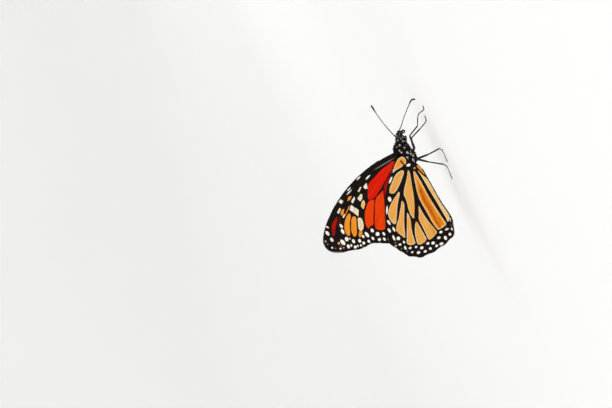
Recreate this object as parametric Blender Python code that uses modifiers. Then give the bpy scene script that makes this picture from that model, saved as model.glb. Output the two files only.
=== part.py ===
"""A monarch butterfly, life-size, standing with its wings closed over its back.

The head points along +X, up is +Z and the animal's left side is +Y. The floor is z = 0 and the
origin lies under the middle of the whole insect. Sizes below are millimetres in the body's own
frame, whose zero is the middle of the thorax: x forward, y to the animal's left, z up.
"""

import math

import bmesh
import bpy
from mathutils import Vector

MM = 0.001
FLOOR = -14.6  # the floor's height in the body's frame
GAP = 0.2  # clearance between neighbouring solids
WING_THICKNESS = 0.5
WING_STEP = 1.7  # spacing of the points along a wing's edge
WING_RINGS = (0.16, 0.36, 0.66, 1.0)  # rings of a wing's mesh, as shares of the way to its edge
SCALLOP = 0.35  # how far the hindwing's margin sinks between two veins
SWEEP = math.radians(0.7)  # how much further back the left wings stand than the right ones
SECTION_SIDES = 20
TUBE_SIDES_RESOLUTION = 2

# The body from the tip of the abdomen to the face: x, middle height, half height, half width.
BODY = (
    (-26.2, -1.9, 0.35, 0.35),
    (-25.3, -1.8, 1.20, 1.10),
    (-23.0, -1.5, 1.95, 1.85),
    (-18.0, -1.0, 2.40, 2.25),
    (-12.5, -0.6, 2.40, 2.25),
    (-8.8, -0.3, 2.15, 2.05),
    (-6.8, 0.0, 2.00, 1.85),
    (-4.6, -0.35, 3.65, 2.60),
    (-1.8, 0.2, 4.15, 3.00),
    (1.2, 1.05, 4.00, 3.00),
    (3.4, 1.0, 3.50, 2.65),
    (5.2, 0.0, 2.80, 2.05),
    (6.1, -0.25, 2.40, 2.00),
    (6.8, -0.2, 2.00, 1.90),
    (7.7, -0.25, 1.55, 1.60),
    (8.3, -0.4, 1.00, 1.05),
    (8.55, -0.45, 0.35, 0.40),
)
WAIST = -6.7
NECK = 5.3
CUT = 0.15  # width of the cuts at the waist and the neck
BACK_NARROWING = 0.12  # how much narrower the back is than the belly
CREASE = 0.3  # how widely the wings round off where they bend round the body

EYE = Vector((6.75, 1.32, 0.05))
EYE_RADII = Vector((0.95, 0.85, 1.10))

# The wings' outlines, seen from the animal's right, from the front of the root round to its back.
FOREWING_ROOT = (-0.3, 4.8)
FOREWING = (
    (1.2, 3.7),
    (1.5, 8.0),
    (0.2, 16.3),
    (-2.4, 24.6),
    (-6.3, 32.6),
    (-11.5, 39.8),
    (-17.2, 45.3),
    (-21.8, 47.9),
    (-25.6, 47.2),
    (-27.9, 43.8),
    (-29.0, 38.8),
    (-30.2, 34.5),
    (-30.1, 29.0),
    (-31.9, 24.8),
    (-33.6, 20.4),
    (-32.6, 17.8),
    (-21.0, 11.9),
    (-10.0, 7.0),
    (-3.0, 4.3),
)
HINDWING_ROOT = (-4.4, 1.0)
HINDWING = (
    (-0.9, 2.0),
    (-1.5, 4.6),
    (-5.4, 8.6),
    (-11.5, 13.7),
    (-20.0, 18.1),
    (-28.5, 21.0),
    (-33.8, 21.8),
    (-38.0, 19.3),
    (-41.7, 16.5),
    (-44.3, 12.0),
    (-44.3, 6.1),
    (-43.3, 0.3),
    (-41.2, -4.6),
    (-35.2, -6.9),
    (-26.0, -5.8),
    (-15.0, -4.6),
    (-9.0, -3.7),
    (-6.4, -2.5),
    (-4.2, -0.2),
)
SCALLOPED = range(6, 13)  # the hindwing's margin, whose points are the ends of its veins

# Each leg's hip, knee, ankle and toes with the bends between; y is measured away from the middle.
LEGS = {
    "midleg_right": {
        "femur": ((-1.2, 2.5, -3.25), (-0.2, 3.3, -4.05), (2.4, 4.0, -4.2), (5.5, 5.0, -4.3)),
        "tibia": ((5.5, 5.0, -4.3), (8.0, 6.2, -8.9)),
        "tarsus": ((8.0, 6.2, -8.9), (12.4, 7.0, -11.4), (13.3, 7.2, -14.1), (14.8, 7.3, -14.42)),
    },
    "hindleg_right": {
        "femur": ((-4.6, 2.65, -2.8), (-4.8, 3.3, -4.0), (-5.0, 5.2, -8.4)),
        "tibia": ((-5.0, 5.2, -8.4), (-4.6, 7.0, -13.6)),
        "tarsus": ((-4.6, 7.0, -13.6), (-5.7, 7.2, -14.4), (-11.0, 7.8, -14.42)),
    },
    "midleg_left": {
        "femur": ((-1.2, 2.5, -3.25), (-0.4, 3.3, -4.1), (2.0, 4.2, -4.5), (4.4, 5.4, -5.1)),
        "tibia": ((4.4, 5.4, -5.1), (6.6, 7.0, -10.3)),
        "tarsus": ((6.6, 7.0, -10.3), (8.7, 7.8, -14.0), (10.8, 8.0, -14.42)),
    },
    "hindleg_left": {
        "femur": ((-4.6, 2.65, -2.8), (-5.3, 3.4, -4.0), (-8.0, 5.6, -7.8)),
        "tibia": ((-8.0, 5.6, -7.8), (-11.6, 7.2, -13.4)),
        "tarsus": ((-11.6, 7.2, -13.4), (-13.0, 7.4, -14.4), (-18.6, 8.0, -14.42)),
    },
}
LEG_RADII = {"femur": (0.50, 0.40), "tibia": (0.32, 0.28), "tarsus": (0.27, 0.25)}
BEYOND_JOINT = 0.7  # each cut lies this far past its knee or ankle, where the limb is straight

FORELEG = ((1.8, 38.0), (3.3, 44.0), (4.6, 54.0), (5.6, 64.0), (6.3, 70.0))  # x, and the angle below the side

ANTENNA_SHAFT = 0.25  # radius
ANTENNA_CLUB = 0.42  # radius
CLUB_SHARE = 0.2  # share of the antenna's length that is club
ANTENNAE = {
    "antenna_right": ((7.95, -0.75, 1.35), (12.0, -2.2, 2.9), (18.0, -4.3, 4.6), (24.0, -6.3, 5.7)),
    "antenna_left": (
        (8.3, 1.2, 0.45),
        (10.1, 1.85, -2.2),
        (13.9, 2.9, -5.7),
        (17.6, 4.2, -9.5),
        (19.4, 4.9, -11.8),
        (19.1, 5.2, -13.4),
    ),
}

COLOURS = {
    "body": (0.012, 0.010, 0.009),
    "eye": (0.020, 0.015, 0.012),
    "horn": (0.016, 0.012, 0.010),
    "forewing": (0.60, 0.05, 0.008),
    "hindwing": (0.75, 0.28, 0.055),
}


def clear_scene():
    for thing in list(bpy.data.objects):
        bpy.data.objects.remove(thing, do_unlink=True)


def metres(x, y, z):
    return Vector((x, y, z - FLOOR)) * MM


def smoothstep(low, high, value):
    t = min(max((value - low) / (high - low), 0.0), 1.0)
    return t * t * (3.0 - 2.0 * t)


def spline(points, step, closed=False):
    """Points about `step` apart on a smooth curve through the given ones, and the leg each is on."""
    vectors = [Vector(p) for p in points]
    count = len(vectors)
    spans = count if closed else count - 1
    path = []
    for i in range(spans):
        b, c = vectors[i], vectors[(i + 1) % count]
        a = vectors[i - 1] if closed or i > 0 else b * 2 - c
        d = vectors[(i + 2) % count] if closed or i + 2 < count else c * 2 - b
        near, middle, far = ((q - p).length ** 0.5 for p, q in ((a, b), (b, c), (c, d)))
        out = ((b - a) / near - (c - a) / (near + middle) + (c - b) / middle) * middle
        into = ((c - b) / middle - (d - b) / (middle + far) + (d - c) / far) * middle
        pieces = max(1, round((c - b).length / step))
        for k in range(pieces):
            t = k / pieces
            point = (
                b * (2 * t**3 - 3 * t**2 + 1)
                + out * (t**3 - 2 * t**2 + t)
                + c * (3 * t**2 - 2 * t**3)
                + into * (t**3 - t**2)
            )
            path.append((point, i, t))
    if not closed:
        path.append((vectors[-1], spans - 1, 1.0))
    return path


def soft_max(a, b):
    """The larger of two values, rounded off where they meet and never less than either."""
    return (a + b + math.hypot(a - b, CREASE)) / 2.0


def body_at(x):
    """Middle height, half height and half width of the body at x, smooth between the stations."""
    for low, high in zip(BODY, BODY[1:]):
        if low[0] <= x <= high[0]:
            share = smoothstep(low[0], high[0], x)
            straight = (x - low[0]) / (high[0] - low[0])
            blend = 0.5 * (share + straight)
            return tuple(a + (b - a) * blend for a, b in zip(low[1:], high[1:]))
    return (0.0, 0.0, 0.0)


def body_side(x, z):
    """How far the body's side stands out from the middle at x and z."""
    middle, half_height, half_width = body_at(x)
    if half_height <= 0.0 or abs(z - middle) >= half_height:
        return 0.0
    rise = (z - middle) / half_height
    return half_width * math.sqrt(1.0 - rise * rise) * (1.0 - BACK_NARROWING * rise)


def forewing_side(x, z):
    """Distance of the forewing's middle surface from the animal's middle."""
    upright = 0.46 + 2.1 * (1.0 - smoothstep(3.0, 15.0, z))
    return soft_max(upright, body_side(x, z) + GAP + WING_THICKNESS / 2)


def hindwing_side(x, z):
    """The hindwing lies outside the forewing and bows round the abdomen."""
    along = 0.15 + 0.85 * smoothstep(-41.0, -27.0, x)
    bow = 1.65 * (1.0 - smoothstep(2.0, 15.0, z)) * along
    curl = 0.75 * smoothstep(2.0, 6.0, -z) * along
    outside_forewing = (forewing_side(x, z) + WING_THICKNESS + GAP) * smoothstep(1.0, 3.5, z)
    outside_body = body_side(x, z) + GAP + WING_THICKNESS / 2
    return soft_max(soft_max(1.2 + bow - curl, outside_forewing), outside_body)


def new_object(name, mesh, parent, colour, roughness):
    thing = bpy.data.objects.new(name, mesh)
    thing.parent = parent
    bpy.data.collections["monarch"].objects.link(thing)
    mesh.materials.append(finish(colour, roughness))
    return thing


def finish(colour, roughness):
    found = bpy.data.materials.get(colour)
    if found:
        return found
    material = bpy.data.materials.new(colour)
    material.use_nodes = True
    shader = material.node_tree.nodes["Principled BSDF"]
    shader.inputs["Base Color"].default_value = (*COLOURS[colour], 1.0)
    shader.inputs["Roughness"].default_value = roughness
    shader.inputs["Metallic"].default_value = 0.0
    return material


def mesh_from(name, shape):
    """A smooth-shaded mesh with its faces pointing outwards."""
    bmesh.ops.recalc_face_normals(shape, faces=shape.faces)
    if shape.calc_volume(signed=True) < 0.0:
        bmesh.ops.reverse_faces(shape, faces=shape.faces)
    mesh = bpy.data.meshes.new(name)
    shape.to_mesh(mesh)
    shape.free()
    mesh.shade_smooth()
    mesh.set_sharp_from_angle(angle=math.radians(50.0))
    return mesh


def body_piece(name, parent, stations):
    """A length of the body as a loft; an end at a cut is flat, and an end of the body is domed."""
    shape = bmesh.new()
    rings = []
    for x in stations:
        middle, half_height, half_width = body_at(x)
        ring = []
        for side in range(SECTION_SIDES):
            turn = 2.0 * math.pi * side / SECTION_SIDES
            width = half_width * (1.0 - BACK_NARROWING * math.sin(turn))
            place = metres(x, width * math.cos(turn), middle + half_height * math.sin(turn))
            ring.append(shape.verts.new(place))
        rings.append(ring)
    for back, front in zip(rings, rings[1:]):
        for side in range(SECTION_SIDES):
            following = (side + 1) % SECTION_SIDES
            shape.faces.new((back[side], back[following], front[following], front[side]))
    shape.faces.new(rings[0])
    shape.faces.new(rings[-1])
    return new_object(name, mesh_from(name, shape), parent, "body", 0.75)


def stations_between(start, stop, step):
    count = max(2, round((stop - start) / step))
    return [start + (stop - start) * i / count for i in range(count + 1)]


def abdomen(parent):
    tip = [BODY[0][0], -26.0, -25.7]
    return body_piece("abdomen", parent, tip + stations_between(BODY[1][0], WAIST - CUT / 2, 1.1))


def thorax(parent):
    return body_piece("thorax", parent, stations_between(WAIST + CUT / 2, NECK - CUT / 2, 0.85))


def eye_shape(name, centre, radii, segments=16, rings=10):
    shape = bmesh.new()
    bmesh.ops.create_uvsphere(shape, u_segments=segments, v_segments=rings, radius=1.0)
    for vert in shape.verts:
        across, along, up = vert.co.x, vert.co.z, vert.co.y
        vert.co = metres(centre.x + radii.x * across, centre.y + radii.y * along, centre.z + radii.z * up)
    return mesh_from(name, shape)


def head_and_eyes(parent):
    """The head has a socket for each eye, a little larger than the eye itself."""
    ends = [BODY[-2][0], BODY[-1][0]]
    head = body_piece("head", parent, stations_between(NECK + CUT / 2, BODY[-3][0], 0.4) + ends)
    socket_radii = EYE_RADII + Vector((GAP, GAP, GAP)) * 0.6
    for side, sign in (("right", -1.0), ("left", 1.0)):
        centre = Vector((EYE.x, sign * EYE.y, EYE.z))
        socket = bpy.data.objects.new(f"socket_{side}", eye_shape(f"socket_{side}", centre, socket_radii))
        socket.hide_render = True
        socket.display_type = "WIRE"
        socket.parent = parent
        bpy.data.collections["cutters"].objects.link(socket)
        cut = head.modifiers.new(f"socket_{side}", "BOOLEAN")
        cut.operation = "DIFFERENCE"
        cut.solver = "EXACT"
        cut.object = socket
        eye_mesh = eye_shape(f"eye_{side}", centre, EYE_RADII)
        new_object(f"eye_{side}", eye_mesh, parent, "eye", 0.2)


def outline(points, scalloped=()):
    """A wing's closed edge as (x, z) points, with hollows between the veins where it is scalloped."""
    path = spline([(x, 0.0, z) for x, z in points], WING_STEP, closed=True)
    centre = sum((p for p, _, _ in path), Vector()) / len(path)
    edge = []
    for point, span, share in path:
        inward = (centre - point).normalized()
        depth = SCALLOP * math.sin(math.pi * share) if span in scalloped else 0.0
        edge.append(point + inward * depth)
    return [(p.x, p.z) for p in edge]


def wing(name, parent, edge, root, side_of, left, colour):
    """A draped sheet of rings round the root, given its thickness by Solidify."""
    shape = bmesh.new()
    turn = SWEEP if left else 0.0
    sign = 1.0 if left else -1.0

    def place(x, z):
        away_x, away_z = x - root[0], z - root[1]
        turned_x = root[0] + away_x * math.cos(turn) - away_z * math.sin(turn)
        turned_z = root[1] + away_x * math.sin(turn) + away_z * math.cos(turn)
        return metres(turned_x, sign * side_of(turned_x, turned_z), turned_z)

    middle = shape.verts.new(place(*root))
    rings = []
    for share in WING_RINGS:
        ring = []
        for x, z in edge:
            ring.append(shape.verts.new(place(root[0] + (x - root[0]) * share, root[1] + (z - root[1]) * share)))
        rings.append(ring)
    count = len(edge)
    for i in range(count):
        after = (i + 1) % count
        shape.faces.new((middle, rings[0][i], rings[0][after]))
        for inner, outer in zip(rings, rings[1:]):
            shape.faces.new((inner[i], outer[i], outer[after], inner[after]))
    sheet = new_object(name, mesh_from(name, shape), parent, colour, 0.6)
    thickness = sheet.modifiers.new("thickness", "SOLIDIFY")
    thickness.thickness = WING_THICKNESS * MM
    thickness.offset = 0.0
    return sheet


def wings(parent):
    forewing_edge = outline(FOREWING)
    hindwing_edge = outline(HINDWING, SCALLOPED)
    for side in ("right", "left"):
        left = side == "left"
        wing(f"forewing_{side}", parent, forewing_edge, FOREWING_ROOT, forewing_side, left, "forewing")
        wing(f"hindwing_{side}", parent, hindwing_edge, HINDWING_ROOT, hindwing_side, left, "hindwing")


def tube(name, parent, points, radii, colour="horn", roughness=0.45, on_floor=False):
    """A round limb along points, each with its radius, as a curve turned to a mesh."""
    curve = bpy.data.curves.new(name, "CURVE")
    curve.dimensions = "3D"
    curve.bevel_depth = MM
    curve.bevel_resolution = TUBE_SIDES_RESOLUTION
    curve.use_fill_caps = True
    line = curve.splines.new("POLY")
    line.points.add(len(points) - 1)
    for knot, point, radius in zip(line.points, points, radii):
        knot.co = (*metres(*point), 1.0)
        knot.radius = radius
    guide = bpy.data.objects.new(name, curve)
    bpy.data.collections["cutters"].objects.link(guide)
    graph = bpy.context.evaluated_depsgraph_get()
    mesh = bpy.data.meshes.new_from_object(guide.evaluated_get(graph))
    bpy.data.objects.remove(guide, do_unlink=True)
    bpy.data.curves.remove(curve)
    shape = bmesh.new()
    shape.from_mesh(mesh)
    bpy.data.meshes.remove(mesh)
    bmesh.ops.remove_doubles(shape, verts=shape.verts, dist=1e-7)
    if on_floor:
        everything = shape.verts[:] + shape.edges[:] + shape.faces[:]
        bmesh.ops.bisect_plane(
            shape, geom=everything, plane_co=(0, 0, 0), plane_no=(0, 0, 1), clear_inner=True, dist=1e-8
        )
        rim = [edge for edge in shape.edges if edge.is_boundary]
        bmesh.ops.holes_fill(shape, edges=rim, sides=0)
    return new_object(name, mesh_from(name, shape), parent, colour, roughness)


def limb_lengths(joints):
    """The femur, tibia and tarsus as paths; each ends just past its joint, one cut from the next."""
    paths = {part: [p for p, _, _ in spline(route, 1.3)] for part, route in joints.items()}
    for part, following in (("femur", "tibia"), ("tibia", "tarsus")):
        joint, beyond = paths[following][:2]
        onward = (beyond - joint).normalized()
        paths[part].append(joint + onward * BEYOND_JOINT)
        paths[following][0] = joint + onward * (BEYOND_JOINT + CUT)
    return paths


def legs(parent):
    for leg, joints in LEGS.items():
        sign = 1.0 if leg.endswith("left") else -1.0
        for part, path in limb_lengths(joints).items():
            points = [Vector((p.x, sign * p.y, p.z)) for p in path]
            thick, thin = LEG_RADII[part]
            last = len(points) - 1
            radii = [thick + (thin - thick) * i / last for i in range(last + 1)]
            tube(f"{leg}_{part}", parent, points, radii, on_floor=part == "tarsus")


def beside_body(x, degrees, sign, away):
    """A place that stands away from the body, at an angle round it below its middle."""
    middle, half_height, half_width = body_at(x)
    turn = math.radians(degrees)
    across = (half_width + away) * math.cos(turn) * (1.0 + BACK_NARROWING * math.sin(turn))
    return Vector((x, sign * across, middle - (half_height + away) * math.sin(turn)))


def forelegs(parent):
    """The brush-like forelegs, folded flat against the underside of the breast."""
    for side, sign in (("right", -1.0), ("left", 1.0)):
        points = [beside_body(x, degrees, sign, GAP + 0.3) for x, degrees in FORELEG]
        tube(f"foreleg_{side}", parent, points, (0.27, 0.27, 0.27, 0.27, 0.25))


def antennae(parent):
    for name, route in ANTENNAE.items():
        points = [p for p, _, _ in spline(route, 0.9)]
        last = len(points) - 1
        radii = []
        for i in range(last + 1):
            share = i / last
            swell = smoothstep(1.0 - CLUB_SHARE, 1.0 - CLUB_SHARE * 0.35, share)
            radius = ANTENNA_SHAFT + (ANTENNA_CLUB - ANTENNA_SHAFT) * swell
            radii.append(radius)
        radii[-1] = ANTENNA_CLUB * 0.6
        tube(name, parent, points, radii)


def mouthparts(parent):
    """Two short palps in front of the face, and the proboscis coiled between them."""
    for side, sign in (("right", -1.0), ("left", 1.0)):
        route = ((7.6, sign * 0.85, -2.15), (8.45, sign * 0.85, -1.9), (8.95, sign * 0.75, -1.2), (9.1, sign * 0.6, -0.4))
        tube(f"palp_{side}", parent, route, (0.27, 0.32, 0.3, 0.2))
    turns = 1.1
    steps = 18
    centre = Vector((8.3, 0.0, -2.75))
    coil = []
    for i in range(steps):
        angle = 2.0 * math.pi * (turns * i / (steps - 1) - 0.06)
        reach = 0.85 - 0.55 * i / (steps - 1)
        coil.append(centre + Vector((math.sin(angle), 0.0, math.cos(angle))) * reach)
    tube("proboscis", parent, coil, [0.2] * steps)


def butterfly():
    for name in ("monarch", "cutters"):
        bpy.context.scene.collection.children.link(bpy.data.collections.new(name))
    body = bpy.data.objects.new("body_frame", None)
    bpy.data.collections["monarch"].objects.link(body)
    abdomen(body)
    thorax(body)
    head_and_eyes(body)
    mouthparts(body)
    antennae(body)
    forelegs(body)
    legs(body)
    wings(body)
    bpy.context.view_layer.update()
    corners = [
        thing.matrix_world @ Vector(corner)
        for thing in bpy.data.collections["monarch"].objects
        if thing.type == "MESH"
        for corner in thing.bound_box
    ]
    for axis in (0, 1):
        low = min(corner[axis] for corner in corners)
        high = max(corner[axis] for corner in corners)
        body.location[axis] = -(low + high) / 2.0


clear_scene()
butterfly()
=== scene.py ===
# %% [markdown]
# # A monarch butterfly with its wings closed
#
# This lesson dresses the packed solids of a life-size monarch: four scaled wings, one furred body,
# faceted eyes, ringed feelers and spined legs. Before each step a cell says what the piece is on a
# living butterfly, how it could be made in Blender, and why it is made this way here.

import math

import bmesh
import bpy
import numpy as np
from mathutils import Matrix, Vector
from mathutils.geometry import delaunay_2d_cdt


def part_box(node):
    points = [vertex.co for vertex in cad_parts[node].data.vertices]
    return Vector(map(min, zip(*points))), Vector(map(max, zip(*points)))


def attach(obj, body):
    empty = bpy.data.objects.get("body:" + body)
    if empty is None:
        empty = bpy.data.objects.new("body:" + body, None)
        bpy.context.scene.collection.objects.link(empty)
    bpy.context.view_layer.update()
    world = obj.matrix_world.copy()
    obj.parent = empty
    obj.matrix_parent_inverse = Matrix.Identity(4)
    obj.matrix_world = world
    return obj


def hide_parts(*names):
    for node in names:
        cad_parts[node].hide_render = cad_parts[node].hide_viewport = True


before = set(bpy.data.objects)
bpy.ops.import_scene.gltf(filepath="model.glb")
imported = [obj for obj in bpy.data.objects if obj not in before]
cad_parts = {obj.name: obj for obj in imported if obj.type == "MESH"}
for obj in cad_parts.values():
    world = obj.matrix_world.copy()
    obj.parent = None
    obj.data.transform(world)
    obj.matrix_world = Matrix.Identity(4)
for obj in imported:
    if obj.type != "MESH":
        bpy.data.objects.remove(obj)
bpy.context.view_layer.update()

# %% [markdown]
# ## The body's own frame
#
# An insect is easiest to lay out from the middle of its thorax: x forward, y to its left, z up, in
# millimetres. The solids say where that middle is, so every piece below is written in the body's
# frame and one function turns it into metres on the floor.

# %% Millimetres from the middle of the thorax
MM = 0.001
FLOOR = -14.6  # the floor's height in the body's frame
THORAX_BACK = -6.625  # where the thorax solid ends behind its middle
SIDES = (("right", -1.0), ("left", 1.0))  # each side's name and the sign of y there
thorax_low, thorax_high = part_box("thorax")
MIDDLE = np.array(
    [thorax_low.x - THORAX_BACK * MM, (thorax_low.y + thorax_high.y) / 2.0, -FLOOR * MM]
)


def metres(points):
    return np.asarray(points, float) * MM + MIDDLE


print("middle of the thorax, mm:", (MIDDLE / MM).round(2))

# %% [markdown]
# ## Camera
#
# A butterfly is shot from the side with a long lens, so that its closed wings lie flat to the view.
# The insect hung head-up on a flower, and here it stands on the floor, so the camera is rolled
# instead: its up runs towards the insect's head. It looks level, a little above the floor.

# %% A long lens, level and rolled
LENS = 135.0
DISTANCE = 986.0
AIM = (-3.5, 48.0)  # where the middle of the view falls on the insect, x and z
ROLL = math.radians(246.4)

camera = bpy.data.objects.new("camera", bpy.data.cameras.new("camera"))
camera.data.lens = LENS
camera.data.sensor_width = 36.0
camera.location = metres((AIM[0], -DISTANCE, AIM[1]))
camera.rotation_euler = (math.radians(90.0), -ROLL, 0.0)
camera.rotation_mode = "XYZ"
bpy.context.scene.collection.objects.link(camera)
bpy.context.scene.camera = camera
bpy.context.view_layer.update()
print("camera looks along", [round(v, 2) for v in -camera.matrix_world.col[2].to_3d()])
for i, way in enumerate(("right", "up")):
    print(f"the view's {way}:", [round(v, 2) for v in camera.matrix_world.col[i].to_3d()])

# %% [markdown]
# ## Socket sums
#
# A procedural finish is mostly arithmetic on masks. Placing Math nodes one by one hides what they
# say, so one small class wraps a socket and answers to + - *, adding the Math node behind the
# scenes. Its `node` adds any other node, in a material and in Geometry Nodes alike, and `math`,
# `fade` and `blend` are short forms of it for the nodes that recur most.


# %% A socket that can be added and multiplied
class Wire:
    """One output socket of a node tree."""

    def __init__(self, tree, socket=None):
        self.tree = tree
        self.socket = socket

    def node(self, kind, settings=None, sockets=None, output=0):
        made = self.tree.nodes.new(kind)
        for name, value in (settings or {}).items():
            if name == "stops":
                fill_ramp(made.color_ramp, value)
            else:
                setattr(made, name, value)
        for key, value in (sockets or {}).items():
            if isinstance(value, Wire):
                self.tree.links.new(value.socket, made.inputs[key])
            else:
                made.inputs[key].default_value = value
        return Wire(self.tree, made.outputs[output])

    def beside(self, output):
        """Another output of the same node."""
        return Wire(self.tree, self.socket.node.outputs[output])

    def math(self, operation, first, second=0.0):
        return self.node("ShaderNodeMath", {"operation": operation}, {0: first, 1: second})

    def __add__(self, other):
        return self.math("ADD", self, other)

    def __radd__(self, other):
        return self.math("ADD", other, self)

    def __sub__(self, other):
        return self.math("SUBTRACT", self, other)

    def __rsub__(self, other):
        return self.math("SUBTRACT", other, self)

    def __mul__(self, other):
        return self.math("MULTIPLY", self, other)

    def __rmul__(self, other):
        return self.math("MULTIPLY", other, self)

    def fade(self, low, high, start=0.0, stop=1.0):
        """Start below low and stop above high, smooth between them."""
        values = {"Value": self, "From Min": low, "From Max": high, "To Min": start, "To Max": stop}
        return self.node("ShaderNodeMapRange", {"interpolation_type": "SMOOTHSTEP"}, values)

    def blend(self, base, top):
        """The colour top where this mask is 1 over the colour base where it is 0."""
        return self.node("ShaderNodeMix", {"data_type": "RGBA"}, {0: self, 6: base, 7: top}, output=2)


def fill_ramp(ramp, stops):
    while len(ramp.elements) < len(stops):
        ramp.elements.new(1.0)
    for element, (place, colour) in zip(ramp.elements, stops):
        element.position = place
        element.color = colour


print("a wire knows:", ", ".join(name for name in vars(Wire) if not name.startswith("_")))

# %% [markdown]
# ## Paint
#
# Paint is chosen as it would be on a screen, so each colour is given from 0 to 255 and turned into
# the linear light that a shader wants. Every finish starts from the same Principled shader, whose
# fixed numbers are set on its own sockets.


# %% Colours and a plain start for every finish
def paint(red, green, blue):
    shares = [value / 255.0 for value in (red, green, blue)]
    return (*[s / 12.92 if s <= 0.04045 else ((s + 0.055) / 1.055) ** 2.4 for s in shares], 1.0)


def new_finish(name, **fixed):
    """A material, its shader's inputs, and a wire to build on."""
    material = bpy.data.materials.new(name)
    material.use_nodes = True
    shader = material.node_tree.nodes["Principled BSDF"]
    for socket, value in fixed.items():
        shader.inputs[socket.replace("_", " ")].default_value = value
    return material, shader.inputs, Wire(material.node_tree)


def feed(socket, wire):
    wire.tree.links.new(wire.socket, socket)


def attribute(wire, name):
    """The Factor output of an attribute that the mesh carries."""
    return wire.node("ShaderNodeAttribute", {"attribute_name": name}, output=2)


def place_noise(wire, scale, detail=2.0):
    where = wire.node("ShaderNodeTexCoord", output=3)
    return wire.node("ShaderNodeTexNoise", {}, {"Vector": where, "Scale": scale, "Detail": detail})


def bump(wire, height, strength, distance):
    values = {"Height": height, "Strength": strength, "Distance": distance * MM}
    return wire.node("ShaderNodeBump", {}, values)


print("soot black in linear light:", [round(v, 4) for v in paint(20, 12, 10)[:3]])

# %% [markdown]
# ## Studio
#
# A museum shows such a specimen on a plain pale ground in soft light. A flat floor that sweeps up
# into a round wall has no edge to see from any side, so floor and backdrop are one turned shape.

# %% A pale floor that sweeps up all round
SWEEP_PROFILE = (
    (0.3, 0.0), (1.2, 0.0), (1.6, 0.05), (1.9, 0.25), (2.1, 0.7), (2.15, 1.6), (2.15, 3.0),
)
SWEEP_SIDES = 96


def studio_sweep():
    shape = bmesh.new()
    rings = []
    turns = [2.0 * math.pi * i / SWEEP_SIDES for i in range(SWEEP_SIDES)]
    for radius, height in SWEEP_PROFILE:
        ring = [(radius * math.cos(t), radius * math.sin(t), height) for t in turns]
        rings.append([shape.verts.new(place) for place in ring])
    shape.faces.new(rings[0])
    for inner, outer in zip(rings, rings[1:]):
        for i in range(SWEEP_SIDES):
            after = (i + 1) % SWEEP_SIDES
            shape.faces.new((inner[i], outer[i], outer[after], inner[after]))
    mesh = bpy.data.meshes.new("studio_sweep")
    shape.to_mesh(mesh)
    shape.free()
    mesh.shade_smooth()
    return mesh


sweep_finish, sweep_sockets, sweep_wire = new_finish("pale_paper", Roughness=0.9, Emission_Strength=0.23)
sweep_sockets["Emission Color"].default_value = paint(252, 252, 251)
mottle = place_noise(sweep_wire, 3.0)
feed(sweep_sockets["Base Color"], mottle.blend(paint(236, 236, 235), paint(241, 241, 240)))
sweep = bpy.data.objects.new("studio_floor", studio_sweep())
sweep.data.materials.append(sweep_finish)
bpy.context.scene.collection.objects.link(sweep)
print("floor: one sweep of", len(sweep.data.polygons), "faces")

# %% [markdown]
# ## Light
#
# Wing scales are matt and their colours are strong, so they want broad, even light: a bright room
# round about, one large panel beside the camera, one overhead and a weaker one behind.

# %% Three soft panels and a bright room
PANELS = {  # place, side and power
    "key": ((-0.55, -1.15, 0.95), 1.1, 5.5),
    "top": ((0.1, 0.1, 1.6), 1.6, 3.0),
    "back": ((0.7, 1.2, 0.7), 1.0, 2.6),
}


def panel(name, place, side, watts):
    light = bpy.data.lights.new(name, "AREA")
    light.shape = "SQUARE"
    light.size = side
    light.energy = watts
    made = bpy.data.objects.new(name, light)
    made.location = place
    made.rotation_euler = (Vector((0.0, 0.0, 0.03)) - Vector(place)).to_track_quat("-Z", "Y").to_euler()
    made.visible_camera = False
    bpy.context.scene.collection.objects.link(made)


for panel_name, (panel_place, panel_side, panel_watts) in PANELS.items():
    panel(panel_name, panel_place, panel_side, panel_watts)
world = bpy.data.worlds.new("room")
world.use_nodes = True
air = world.node_tree.nodes["Background"].inputs
air["Color"].default_value = (1.0, 1.0, 1.0, 1.0)
air["Strength"].default_value = 0.25
bpy.context.scene.world = world
bpy.context.scene.view_settings.view_transform = "Standard"
print("panels:", ", ".join(PANELS))

# %% [markdown]
# ## Smooth lines and distances
#
# Wings are outlines, veins are lines and spots are ovals, so two helpers do most of the drawing: a
# smooth line through a few points, and the distance from every point of a wing to such a line. A
# distance in millimetres is a better marking than a painted colour, because a shader can turn it
# into an edge as sharp or as ragged as the scales there.


# %% A smooth line through a few points
def smooth_line(points, step, closed=False):
    """Points about `step` apart on a smooth line through the given ones."""
    points = np.asarray(points, float)
    count = len(points)
    path = []
    for i in range(count if closed else count - 1):
        b = points[i]
        c = points[(i + 1) % count]
        a = points[i - 1] if closed or i > 0 else 2.0 * b - c
        d = points[(i + 2) % count] if closed or i + 2 < count else 2.0 * c - b
        near, middle, far = (max(np.linalg.norm(q - p), 1e-9) ** 0.5 for p, q in ((a, b), (b, c), (c, d)))
        out = ((b - a) / near - (c - a) / (near + middle) + (c - b) / middle) * middle
        into = ((c - b) / middle - (d - b) / (middle + far) + (d - c) / far) * middle
        pieces = max(1, round(np.linalg.norm(c - b) / step))
        for k in range(pieces):
            t = k / pieces
            path.append(
                b * (2 * t**3 - 3 * t**2 + 1) + out * (t**3 - 2 * t**2 + t)
                + c * (3 * t**2 - 2 * t**3) + into * (t**3 - t**2)
            )
    if not closed:
        path.append(points[-1])
    return np.array(path)


def smoothstep(low, high, value):
    t = np.clip((np.asarray(value, float) - low) / (high - low), 0.0, 1.0)
    return t * t * (3.0 - 2.0 * t)


print("points on a bend 4 mm long:", len(smooth_line([(0.0, 0.0), (2.0, 1.0), (4.0, 0.0)], 0.25)))

# %% Distances to lines, loops and ovals
CHUNK = 3000  # points measured at a time, to save memory


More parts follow.
